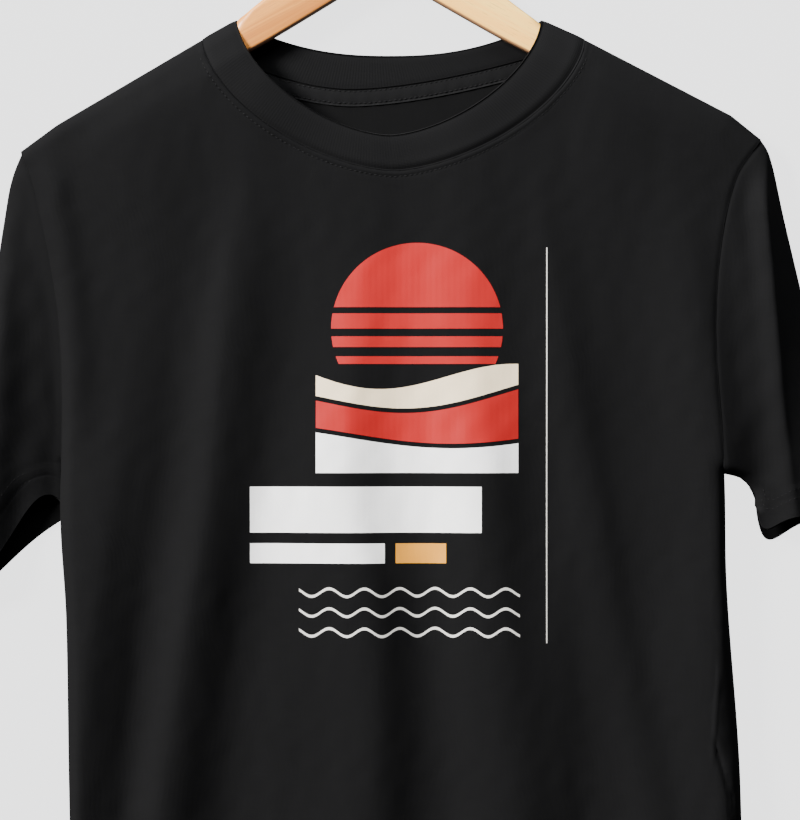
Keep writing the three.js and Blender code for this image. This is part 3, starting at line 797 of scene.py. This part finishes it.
def floorFinish():
    f = Finish("pale floor")
    grain = f.noise(f.position(), 600, 2, 0.5)
    colour = f.blend(grain, (0.78, 0.78, 0.785), (0.80, 0.80, 0.80))
    matt = f.node("BsdfDiffuse", sockets={"Color": colour, "Roughness": 0.6})
    glow = f.node("Emission", sockets={"Color": (0.985, 0.99, 1.0, 1), "Strength": floor["glow"]})
    return f.close(f.node("MixShader", sockets={0: floor["shade"], 1: matt, 2: glow}))


ground = bpy.data.meshes.new("floor")
ground.from_pydata([(x * floor["half"], y * floor["half"], floor["level"])
                    for x, y in ((-1, -1), (1, -1), (1, 1), (-1, 1))], [], [(0, 1, 2, 3)])
ground.materials.append(floorFinish())
floorPiece = added("floor", ground)
# a backdrop alone, which throws no light of its own up onto the cloth
floorPiece.visible_diffuse = floorPiece.visible_glossy = False
floorPiece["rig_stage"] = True


# body of the shirt
panelLook = {
    "front": {"column": 3.3, "rows": 200, "besideSide": 1.1,
              "besideNeck": [0, 1, 2, 3, 4, 5.2, 6.6, 8.3, 10.4, 13],
              "edge": [0, 0.25, 0.8, 1.7, 3.0, 4.8, 7.2, 10],
              "top": [0, 0.3, 0.7, 1.2, 1.8, 2.4, 3.0, 3.7, 4.4, 5.2, 6.2, 7.6, 9.4, 12, 15.5,
                      20, 26, 34]},
    "back": {"column": 7.0, "rows": 92, "besideSide": 7.0, "besideNeck": [0, 2, 4.5, 8],
             "edge": [0, 0.3, 1.0, 2.2, 4.4, 7, 9],
             "top": [0, 0.4, 1.0, 2.0, 3.6, 6.0, 9]},
}


def between(start, end, step):
    count = max(1, round((end - start) / step))
    return [mix(start, end, k / count) for k in range(count)]


def panelGrid(look, neckY):
    width = rightEdge[0][0] - leftEdge[0][0]
    shoulderLeft, shoulderRight = leftEdge[-1][0], rightEdge[-1][0]
    neckHalf = seamCurve["half"]

    def shareAt(x):
        return (x - shoulderLeft) / (shoulderRight - shoulderLeft)

    ends = [step / width for step in look["edge"]]
    inner = ends.pop()
    column = look["column"] / width
    shares = [*ends]
    start = inner
    for end in (seamCurve["x"] - neckHalf, seamCurve["x"] + neckHalf):
        # columns lie closer together on both sides of the neckline's ends
        steps = look["besideNeck"]
        beside = [end - step for step in steps[::-1]] + [end + step for step in steps[1:]]
        shares += between(start, shareAt(beside[0]), column) + [shareAt(x) for x in beside[:-1]]
        start = shareAt(beside[-1])
    # and beside the right side, where the pleat is
    finer = look["besideSide"]
    close = 1 - inner - finer * round(14 / finer) / width
    shares += between(start, close, column) + between(close, 1 - inner, finer / width)
    shares += [1 - inner, *[1 - share for share in ends[::-1]]]
    shares = np.array(shares)

    def acrossAt(y):
        return mix(curveX(leftEdge, y), curveX(rightEdge, y), shares[None, :])

    # each column runs up to the first point where it meets the neckline or the shoulder
    trial = np.linspace(-115, 0, 2301)[:, None] + 0 * shares[None, :]
    x = acrossAt(trial)
    topY = np.where(np.abs(x - seamCurve["x"]) < neckHalf, neckY(x), shoulderY(x))
    first = np.argmax(trial >= topY, axis=0)
    high = np.take_along_axis(trial, first[None, :], 0)
    low = leftEdge[0][1] - hemDip * (1 - (2 * shares[None, :] - 1) ** 2)
    hemSteps = np.array([0, 0.6, 2, 5, 8, 11, 13.6, 15.6, 17.6, 20, 22, 24])[:, None]
    topSteps = np.array(look["top"][::-1])[:, None]
    rows = (np.arange(1, look["rows"] + 1) / look["rows"])[:, None]
    y = np.concatenate([
        low + hemSteps,
        mix(low + hemSteps[-1], high - topSteps[0], 1 - (1 - rows) ** rowCrowding),
        high - topSteps[1:]])
    return acrossAt(y), y


def showInside(piece, count, which, material):
    # a panel's upper faces come first, then as many lower ones; a sleeve's inner, then outer
    piece.data.materials.append(material)
    side = np.arange(len(piece.data.polygons)) // count
    piece.data.polygons.foreach_set("material_index", (side == which).astype(np.int32))


def bodyPanel(part, neckY, heightOf, isFront):
    x, y = panelGrid(panelLook[part], neckY)
    thick = np.where(y < hemLow(x) + cloth["hemWidth"], cloth["hem"], cloth["jersey"])
    grid = np.stack([x, y, heightOf(x, y)], 2)
    inwards = ease(0.8, 3, np.minimum(toShoulder(x, y), toSide(x, y)))[..., None]
    normal = unit(mix(gridNormals(grid, False), slopeNormals(heightOf, x, y), inwards))
    # the outside stays smooth where the hem is doubled
    half = 0.5 * cloth["jersey"] / thick[..., None]
    piece = clothPiece("shirt_" + part, grid, thick, jersey, below=1 - half if isFront else half,
                       normal=normal)
    # the inner faces take the darker jersey, painted shade
    showInside(piece, (x.shape[0] - 1) * (x.shape[1] - 1), int(isFront), jerseyShadedInside)
    return settled(piece, "body_" + part)


front = bodyPanel("front", lambda x: frontNeckY(seamCurve, x), frontHeight, True)
back = bodyPanel("back", lambda x: backNeckY(seamCurve, x), backHeight, False)
print("body panels made")

# sleeves
sleeveLook = {
    "steps": 104, "share": 68, "under": 0.7, "fold": 6, "rimRise": 1.5, "soft": 0.35,
    "stitchRows": (19.0, 12.8), "stitchDip": 0.24, "hemWave": 0.07,
    "length": 300, "nearCuff": [0.6, 1.4, 5.2, 8, 12, 14, 18, 20, 22],
    "left": {"name": "sleeve_left", "side": -1, "edge": leftEdge, "underarm": leftUnderarm,
             "outer": [(-242.8, -87.5), (-250, -107), (-255.3, -138.4), (-271, -250), (-292, -397)],
             "under": [(-213.6, leftUnderarm), (-213.2, -303), (-213.4, -318)],
             "frontBow": (-15.5, 6, 0.25), "backBow": (5, 12, 0.5), "tuck": -1.6, "droop": 2,
             "groove": 0.25},
    "right": {"name": "sleeve_right", "side": 1, "edge": rightEdge, "underarm": rightUnderarm,
              "outer": [(242.8, -79.7), (250, -94), (260.3, -140.4), (284, -240), (310, -329)],
              "under": [(214.5, rightUnderarm), (228, -300.5), (237.3, -308.5), (239, -319)],
              "frontBow": (13.5, 6, 1), "backBow": (20, 4, 1), "tuck": -0.6, "droop": 0.5,
              "groove": 0.45},
}


class SleeveShape:
    # flat outline of a sleeve and the height of its two layers
    def __init__(self, spec):
        self.spec = spec
        self.outer = splinePoints(spec["outer"], 161)
        self.under = splinePoints(spec["under"], 61)
        self.outerCorner, self.innerCorner = self.outer[-1], self.under[-1]
        down = unit(self.innerCorner - self.outerCorner)
        self.outward = np.array([down[1], -down[0]]) * -spec["side"]

    def on(self, line, s):
        return sampled(line, np.linspace(0, 1, len(line)), s)

    def armhole(self, t):
        edge = self.spec["edge"]
        y = mix(edge[-1][1], self.spec["underarm"], t)
        return np.stack([curveX(edge, y) + self.spec["side"] * self.spec["tuck"], y], -1)

    def cuff(self, t, bow):
        # the rim bows out of the line between its corners, most of all near the underarm
        most, power, fullness = bow
        t = np.asarray(t, float)[..., None]
        line = mix(self.outerCorner, self.innerCorner, t)
        share = np.maximum(np.sin(math.pi * np.clip(t, 0, 1) ** power), 0) ** fullness
        return line + self.outward * most * share

    def flat(self, s, t, bow):
        s2, t2 = np.asarray(s, float)[..., None], np.asarray(t, float)[..., None]
        ends = mix(self.armhole(t), self.cuff(t, bow), s2)
        folded = mix(self.on(self.outer, s), self.on(self.under, s), t2)
        corners = mix(mix(self.outer[0], self.outerCorner, s2),
                      mix(self.under[0], self.innerCorner, s2), t2)
        return ends + folded - corners

    def height(self, x, y, s, t, isFront, thick=cloth["jersey"]):
        spec = self.spec
        radius = levels["sideRound"] if isFront else levels["shoulderRound"]
        underRadius = sleeveLook["fold"] if isFront else radius
        outerTurn = roundOff(distanceTo(self.outer[::4], x, y) / radius)
        underTurn = roundOff(distanceTo(self.under[::4], x, y) / underRadius)
        turn = np.where((t <= 0) | (t >= 1), 0, outerTurn * underTurn)
        fold = mix(mix(hangerMiddle, levels["side"], ease(0, 0.3, s)), levels["side"], t)
        if isFront:
            level = frontLevel(x, y) + self.detail(x, y)
            if spec["side"] > 0:
                crest = curveX(rightCrest, y)
                rim = np.interp(-y, -self.outer[:, 1], self.outer[:, 0])
                beyond = np.clip((x - crest) / np.maximum(rim - crest, 4), 0, 1)
                rimLevel = levels["side"] + sleeveLook["rimRise"]
                fall = mix(frontLevel(crest, y), rimLevel, beyond ** 0.8)
                level = mix(level, fall, ease(-1.5, 2.5, x - crest))
        else:
            level = thick / 2 + levels["underside"]
        tucked = sleeveLook["under"] * ease(0.012, 0, s) * (1 if isFront else 0)
        return mix(fold, level, turn) - tucked

    def detail(self, x, y):
        armhole = np.abs(x - curveX(self.spec["edge"], y)) + 40 * (y < self.spec["underarm"])
        rim = self.fromCuff(x, y, self.spec["frontBow"])
        groove = self.spec["groove"] * bump(armhole, 0, 1.5)
        dip = sum(sleeveLook["stitchDip"] * bump(rim, row, 0.9) for row in sleeveLook["stitchRows"])
        wave = np.sin((x + 1.3 * y) / 1.5)
        # the hem's edge hangs down towards the opening
        hem = sleeveLook["hemWave"] * wave * ease(27, 16, rim)
        droop = self.spec["droop"] * ease(26, 0, rim)
        soft = sleeveLook["soft"] * ripples(x, y, 31, 8, (25, 60), (50, 160), 0.5)
        return soft * ease(3, 14, armhole) + hem - droop - groove - dip

    def fromCuff(self, x, y, bow):
        # distance from the rim of the opening, inwards
        rim = self.cuff(np.linspace(0, 1, 40), bow)
        return distanceTo([tuple(p) for p in rim], x, y)


def sleevePiece(spec):
    shape = SleeveShape(spec)
    nearCuff = 1 - np.array(sleeveLook["nearCuff"]) / sleeveLook["length"]
    s = np.sort(np.concatenate([np.linspace(0, 1, sleeveLook["steps"]), nearCuff]))
    turnShare = np.linspace(0, math.pi, sleeveLook["share"])
    t = (1 - np.cos(turnShare)) / 2
    layers, thicknesses = [], []
    for isFront, shares in ((True, t), (False, t[1:-1][::-1])):
        ss, tt = np.meshgrid(s, shares, indexing="ij")
        bow = spec["frontBow"] if isFront else spec["backBow"]
        flat = shape.flat(ss, tt, bow)
        x, y = flat[..., 0], flat[..., 1]
        thick = mix(cloth["hem"], cloth["jersey"], ease(19, 21, shape.fromCuff(x, y, bow)))
        layers.append(np.stack([x, y, shape.height(x, y, ss, tt, isFront, thick)], 2))
        thicknesses.append(thick)
    grid, thick = np.concatenate(layers, 1), np.concatenate(thicknesses, 1)
    if spec["side"] > 0:
        grid, thick = grid[:, ::-1], thick[:, ::-1]
    piece = clothPiece("shirt_" + spec["name"], grid, thick, jersey, wrap=True)
    # the sleeve's inner faces take the near-black jersey, painted shade
    showInside(piece, (len(grid) - 1) * grid.shape[1], 0, sleeveInside)
    return settled(piece, spec["name"]), shape


leftSleeve, leftShape = sleevePiece(sleeveLook["left"])
rightSleeve, rightShape = sleevePiece(sleeveLook["right"])
print("sleeves made")


# collar and the tape behind the neck
def collarGrid():
    # ring of points from the seam to the free edge, evenly spaced round the neck
    halves = []
    for isFront in (True, False):
        lines = [np.array(neckLine(curve, isFront, collarLook["tries"]))[::1 if isFront else -1]
                 for curve in (seamCurve, freeCurve)]
        length = lengthsAlong((lines[0] + lines[1]) / 2)
        count = round(length[-1] / collarLook["pitch"]) * collarLook["samples"]
        share = np.arange(count) / count * length[-1]
        halves.append([sampled(line, length, share) for line in lines]
                      + [np.full(count, isFront), share])
    seam, free, isFront = [np.concatenate([half[k] for half in halves]) for k in range(3)]
    before = halves[0][3][-1] + collarLook["pitch"] / collarLook["samples"]
    return seam, free, isFront, np.concatenate([halves[0][3], halves[1][3] + before])


def collarHeight(x, y, isFront):
    flat = np.where(isFront, frontLevel(x, y) + cloth["layerGap"],
                    cloth["rib"] / 2 + cloth["layerGap"])
    return overShoulder(x, y, flat, np.where(isFront, levels["shoulderPower"], 2))


seamRing, freeRing, ringFront, ringAlong = collarGrid()
low = collarHeight(*seamRing.T, ringFront)
# the free edge lies close on the wood where it crosses the arms
hug = collarLook["hug"] * ease(46, 22, toShoulder(*freeRing.T))
high = collarHeight(*freeRing.T, ringFront) - hug * ringFront
rows = np.array(collarLook["rows"])
crown = 0.5 * np.sin(math.pi * rows) ** 0.8 - collarLook["sunk"] * bump(rows, 0, 0.06)
# the allowance sewn under the collar shows as a low roll beside the seam
roll = mix(0.12, collarLook["roll"], ease(-60, 70, seamRing[:, 0]))
collarPoints = np.stack([
    np.column_stack([mix(seamRing, freeRing, r),
                     mix(low, high, r) + (c + roll * bump(r, 0.16, 0.11)) * ringFront])
    for r, c in zip(rows, crown)])
ribWave = np.cos(2 * math.pi * ringAlong / collarLook["pitch"])
ribFade = (np.sin(math.pi * np.clip(rows * 0.92 + 0.04, 0, 1)) ** 0.35)[:, None]
collarThick = mix(1.5, cloth["rib"], np.minimum(1, rows * 6)) * mix(1, 0.6, ease(0.85, 1, rows))
collarThick = collarThick[:, None] * np.ones(len(ringAlong))
ringUv = np.stack([np.broadcast_to(ringAlong, collarThick.shape),
                   np.broadcast_to((rows * 22)[:, None], collarThick.shape)], 2)
collar = clothPiece("shirt_collar", collarPoints, collarThick, rib, wrap=True,
                    relief=collarLook["relief"] * ribWave[None, :] * ribFade, uv=ringUv)
settled(collar, "collar")

tapeLook = {"reach": 104, "columns": 150, "rise": 0.9, "above": 0.4}
tapeX = seamCurve["x"] + np.linspace(-1, 1, tapeLook["columns"]) * tapeLook["reach"]
tapeRows = []
for share in np.linspace(0, 1, 8):
    y = backNeckY(seamCurve, tapeX) - mix(-tapeLook["above"], cloth["tapeWidth"] + 1.2, share)
    lift = tapeLook["rise"] * math.sin(math.pi * min(1, 0.25 + 0.75 * share)) ** 0.6
    z = cloth["jersey"] + cloth["layerGap"] + cloth["tape"] / 2 + lift \
        + 0.12 * np.sin(tapeX / 1.6) * share
    tapeRows.append(np.stack([tapeX, y, np.broadcast_to(z, tapeX.shape)], 1))
tapePiece = clothPiece("neck_band", np.stack(tapeRows)[::-1], cloth["tape"], tape)
settled(tapePiece, "neck_tape")
print("collar and tape made")

# stitches
stitchLook = {"pitch": 3.3, "length": 2.5, "radius": 0.30, "sides": 6, "lift": 0.55,
              "cuffLift": 0.75,
              # place along the stitch, girth and arch
              "profile": [(-0.5, 0.15, -0.42), (-0.42, 0.65, -0.12), (-0.2, 1, 0.1),
                          (0.2, 1, 0.1), (0.42, 0.65, -0.12), (0.5, 0.15, -0.42)]}


def stitchRows(name, lines):
    # one small thread loop after another along each line of points
    points, faces = [], []
    around, profile = stitchLook["sides"], stitchLook["profile"]
    for line in lines:
        count = max(2, int(lengthsAlong(line)[-1] / stitchLook["pitch"]))
        ends = evenly(line, 2 * count + 1)
        for before, centre, after in zip(ends[:-2:2], ends[1::2], ends[2::2]):
            along = unit(after - before)
            sideways = unit(np.cross([0, 0, 1], along))
            up = np.cross(along, sideways)
            ring = stitchLook["radius"] * circle(around, sideways, up)
            faces += ringFaces(len(profile), around, len(points) * around)
            for station, girth, arch in profile:
                points.append(centre + along * station * stitchLook["length"] + up * arch
                              + ring * girth)
    return settled(newPiece(name, np.concatenate(points), faces, thread))


def onFront(line):
    return np.column_stack([line, frontHeight(*np.transpose(line)) + stitchLook["lift"]])


def offsetLine(line, distance):
    line = evenly(line, 240)
    run = np.gradient(line, axis=0)
    return line + unit(np.stack([run[:, 1], -run[:, 0]], 1)) * distance


def hemLine(above, isFront):
    x, y = panelGrid(panelLook["back"], lambda x: backNeckY(seamCurve, x))
    keep = (x[0] > leftEdge[0][0] + 2) & (x[0] < rightEdge[0][0] - 2)
    line = evenly(np.stack([x[0][keep], y[0][keep] + above], 1), 300)
    if isFront:
        return onFront(line)
    return np.column_stack([line, backHeight(*line.T) - cloth["jersey"] / 2])


neckStitches = stitchRows("neck_stitches", [
    onFront([p for p in offsetLine(frontSeam, seamLook["stitchAt"]) if toShoulder(*p) > 9])])
hemStitches = stitchRows("hem_stitches", [
    hemLine(hemLook[row], isFront) for row in ("first", "second") for isFront in (True, False)])


def cuffLine(shape, spec, inward):
    t = np.linspace(0.02, 0.97, 120)
    line = shape.cuff(t, spec["frontBow"]) - shape.outward * inward
    edge = curveX(spec["edge"], line[:, 1])
    rim = np.interp(-line[:, 1], -shape.outer[:, 1], shape.outer[:, 0])
    clear = ((line[:, 0] - edge) * spec["side"] > 3) & ((rim - line[:, 0]) * spec["side"] > 2)
    keep = clear & (distanceTo(shape.under[::4], line[:, 0], line[:, 1]) > 1.5)
    line, t = line[keep], t[keep]
    s = np.full(len(line), 0.95)
    return np.column_stack([line, shape.height(*line.T, s, t, True) + stitchLook["cuffLift"]])


cuffStitches = stitchRows("cuff_stitches", [
    cuffLine(shape, shape.spec, inward)
    for shape in (leftShape, rightShape) for inward in sleeveLook["stitchRows"]])
tapeTop = cloth["jersey"] + cloth["layerGap"] + cloth["tape"] + tapeLook["rise"]
tapeStitches = stitchRows("band_stitches", [
    np.column_stack([tapeX, backNeckY(seamCurve, tapeX) - below,
                     np.full(len(tapeX), tapeTop - dip)])
    for below, dip in ((1.2, 0.1), (cloth["tapeWidth"] - 0.6, 0.35))])
print("stitches made")


# print on the chest
inks = {"white": (252, 252, 252), "red": (160, 3, 3), "cream": (238, 218, 184),
        "ochre": (205, 138, 34), "grey": (205, 203, 198)}
printLook = {"step": 3.0, "proud": 0.16, "deep": 0.25}


def circleBand(cx, cy, radius, low, high, count=60):
    # the part of a disc between two heights
    ends = [math.asin(max(-1, min(1, (level - cy) / radius))) for level in (low, high)]
    right = [(cx + radius * math.cos(angle), cy + radius * math.sin(angle))
             for angle in np.linspace(*ends, count)]
    return right + [(2 * cx - x, y) for x, y in right[::-1]]


def block(x0, y0, x1, y1):
    return [(x0, y0), (x1, y0), (x1, y1), (x0, y1)]


def wavy(x0, x1, topOf, bottomOf, count=90):
    xs = np.linspace(x0, x1, count)
    return [(x, bottomOf(x)) for x in xs] + [(x, topOf(x)) for x in xs[::-1]]


def backDune(x):
    return -226 - 11 * math.sin((x + 49) / 128 * 4.1 + 0.4) - 0.06 * (x + 49)


def midDune(x):
    return -249 + 9 * math.sin((x + 49) / 128 * 3.6 + 2.9) + 0.05 * (x + 49)


def nearDune(x):
    return -271 - 7 * math.sin((x + 49) / 128 * 3.0 - 0.5)


def brook(level):
    return lambda x: level + 2.6 * math.sin(x * 2 * math.pi / 23)


sun = (17.0, -203.0, 56.0)
shapes = {
    "red": [circleBand(*sun, -189, -147)]
    + [circleBand(*sun, low, high) for low, high in ((-203, -193), (-215, -208), (-226, -221))]
    + [wavy(-49, 83, lambda x: midDune(x) - 3, nearDune)],
    "cream": [wavy(-49, 83, lambda x: backDune(x) - 3, midDune)],
    "white": [block(-92, -336, 59, -306), block(-92, -356, -4, -343),
              wavy(-49, 83, lambda x: nearDune(x) - 3, lambda x: -297)],
    "ochre": [block(3, -356, 36, -343)],
    "grey": [wavy(-60, 84, brook(level + 0.9), brook(level - 0.9), 160)
             for level in (-375, -388, -401)] + [block(101.2, -408, 101.9, -150)],
}


def inkPiece(name, outlines, material):
    build = bmesh.new()
    for outline in outlines:
        build.faces.new([build.verts.new((x, y, 0)) for x, y in outline])
    bmesh.ops.triangulate(build, faces=build.faces[:])
    # cut into small squares, so that the ink can follow the cloth
    step = printLook["step"]
    for normal in (Vector((1, 0, 0)), Vector((0, 1, 0))):
        reach = [v.co.dot(normal) for v in build.verts]
        for level in np.arange(math.ceil(min(reach) / step) * step, max(reach), step):
            bmesh.ops.bisect_plane(build, geom=build.verts[:] + build.edges[:] + build.faces[:],
                                   plane_co=normal * level, plane_no=normal, dist=1e-4)
    bmesh.ops.triangulate(build, faces=build.faces[:])
    bmesh.ops.recalc_face_normals(build, faces=build.faces[:])
    if sum(face.normal.z for face in build.faces) < 0:
        bmesh.ops.reverse_faces(build, faces=build.faces[:])
    build.verts.index_update()
    flat = np.array([v.co[:2] for v in build.verts])
    tops = [tuple(v.index for v in face.verts) for face in build.faces]
    rims = [(edge.link_loops[0].vert.index, edge.link_loops[0].link_loop_next.vert.index)
            for edge in build.edges if len(edge.link_loops) == 1]
    build.free()
    level = frontHeight(*flat.T) + cloth["jersey"] / 2
    count = len(flat)
    points = np.concatenate([np.column_stack([flat, level + printLook["proud"]]),
                             np.column_stack([flat, level - printLook["deep"]])])
    faces = tops + [tuple(i + count for i in face[::-1]) for face in tops]
    faces += [(a, a + count, b + count, b) for a, b in rims]
    return settled(newPiece(name, points, faces, material, sharp=True))


prints = [inkPiece("print_" + name, outlines, inkFinish(name + " ink", inks[name]))
          for name, outlines in shapes.items()]
print("chest print made")


# hanger and hook
hangerLook = {"points": 150, "lower": 120, "openRounding": 2.4, "rings": 7}


def hangerOutline():
    slope = math.tan(math.radians(hanger["slope"]))
    span, tipY, tipRadius = hanger["span"], hanger["tipY"], hanger["tipRadius"]

    def topAt(x, below=hanger["clear"]):
        return tipY + (span / 2 - x) * slope - below

    tipX = span / 2 - tipRadius - 2
    tipCentre = topAt(tipX) - tipRadius - 1
    angles = np.radians(np.linspace(52, -102, 26))
    tipRound = np.stack([tipX + tipRadius * np.cos(angles),
                         tipCentre + tipRadius * np.sin(angles)], 1)
    lower = splinePoints([
        (tipX - 8, tipCentre - tipRadius + 1.5), (170, topAt(170) - 21), (130, topAt(130) - 21.5),
        (93, -23.3), (79, -15.8), (66, -8.4), (36, 9.2), (12, 23.5), (0, 27)], hangerLook["lower"])
    # the collar covers the left arm a little nearer to the hub
    halves = []
    for crossing in ([(95, 0.3), (100, -6.6), (112, topAt(112, 4.2))],
                     [(99.5, -3.0), (112, topAt(112, 3.4))]):
        upper = splinePoints([
            (hanger["hubHalf"], hanger["hubTop"]), (24, 51.5), (50, 35.5), (81, 11.2), (90, 4.1),
            *crossing, (124, topAt(124, 3.8)), (150, topAt(150)), (tipX + 4, topAt(tipX + 4))],
            hangerLook["points"])
        halves.append(np.concatenate([upper, tipRound, lower]))
    outline = np.concatenate([halves[1], halves[0][:-1][::-1] * (-1, 1)])
    return np.stack(onHanger(*outline.T), 1), outline[:, 0]


def hangerPiece():
    outline, level = hangerOutline()
    following = np.roll(outline, -1, 0)
    run = following - np.roll(outline, 1, 0)
    area = np.sum(outline[:, 0] * following[:, 1] - following[:, 0] * outline[:, 1])
    outward = unit(np.stack([run[:, 1], -run[:, 0]], 1)) * np.sign(area)
    # edges are crisper where the hanger shows, and rounder inside the shoulders
    covered = ease(85, 96, -level) + ease(95, 106, level)
    radius = mix(hangerLook["openRounding"], hanger["rounding"], covered)[:, None]
    angles = np.radians(np.linspace(90, 0, hangerLook["rings"]))
    low = [(radius * (1 - math.sin(a)) + hangerBottom, radius * (1 - math.cos(a))) for a in angles]
    high = [(2 * hangerMiddle - z, inset) for z, inset in low[::-1]]
    rings = [np.concatenate([outline - outward * inset, z], 1) for z, inset in low + high]
    faces = ringFaces(len(rings), len(outline), flip=area < 0)
    piece = newPiece("wooden_hanger", np.concatenate(rings), faces, paleWood)
    build = bmesh.new()
    build.from_mesh(piece.data)
    bmesh.ops.triangulate(build, faces=[face for face in build.faces if len(face.verts) > 4])
    bmesh.ops.recalc_face_normals(build, faces=build.faces[:])
    build.to_mesh(piece.data)
    build.free()
    piece.data.shade_smooth()
    return settled(piece, "hanger")


hangerPiece()

hook = {"wire": 3.6, "sides": 20, "steps": 220, "tip": 1.8, "ferruleSides": 28}
hookRoute = [(0, 55.3), (0, 64), (2.5, 71), (11, 76), (19.5, 83), (24, 94), (23.5, 106),
             (17.5, 117.5), (6, 124.5), (-7, 124.5), (-18, 117.5), (-24, 106), (-25, 95)]


def tube(path, radii, sides):
    # round tube along a path that lies level, closed at both ends
    up = np.array([0, 0, 1.0])
    sideways = np.cross(unit(np.gradient(path, axis=0)), up)
    rings = [p + r * circle(sides, s, up) for p, r, s in zip(path, radii, sideways)]
    return np.concatenate(rings), ringFaces(len(path), sides, flip=True)


flatRoute = splinePoints([onHanger(x, y) for x, y in hookRoute], hook["steps"])
route = np.column_stack([flatRoute, np.full(len(flatRoute), hangerMiddle)])
fromTip = np.linalg.norm(route - route[-1], axis=1)
radii = hook["wire"] / 2 * np.sqrt(1 - np.clip(1 - fromTip / hook["tip"], 0, 0.96) ** 2)
settled(newPiece("wire_hook", *tube(route, radii, hook["sides"]), steel), "hook")

# turned steel sleeve where the wire enters the wood, sunk a little into the hub
ferrule = [(-2.0, 3.4), (0.0, 3.7), (0.5, 3.9), (1.6, 3.9), (2.1, 3.3), (5.2, 3.1), (5.9, 2.7),
           (6.2, 1.9)]
base = np.array([*onHanger(0, hanger["hubTop"]), hangerMiddle])
rise = np.array([*onHanger(0, hanger["hubTop"] + 1), hangerMiddle]) - base
ferrulePath = np.stack([base + rise * height for height, _ in ferrule])
ferruleTube = tube(ferrulePath, [radius for _, radius in ferrule], hook["ferruleSides"])
settled(newPiece("hook_ferrule", *ferruleTube, steel))
print("hanger and hook made")

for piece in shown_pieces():
    if piece.type == "MESH" and "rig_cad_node" not in piece:
        triangles = sum(len(face.vertices) - 2 for face in piece.data.polygons)
        print(piece.name, len(piece.data.vertices), "points", triangles, "triangles")
print("shirt finished")
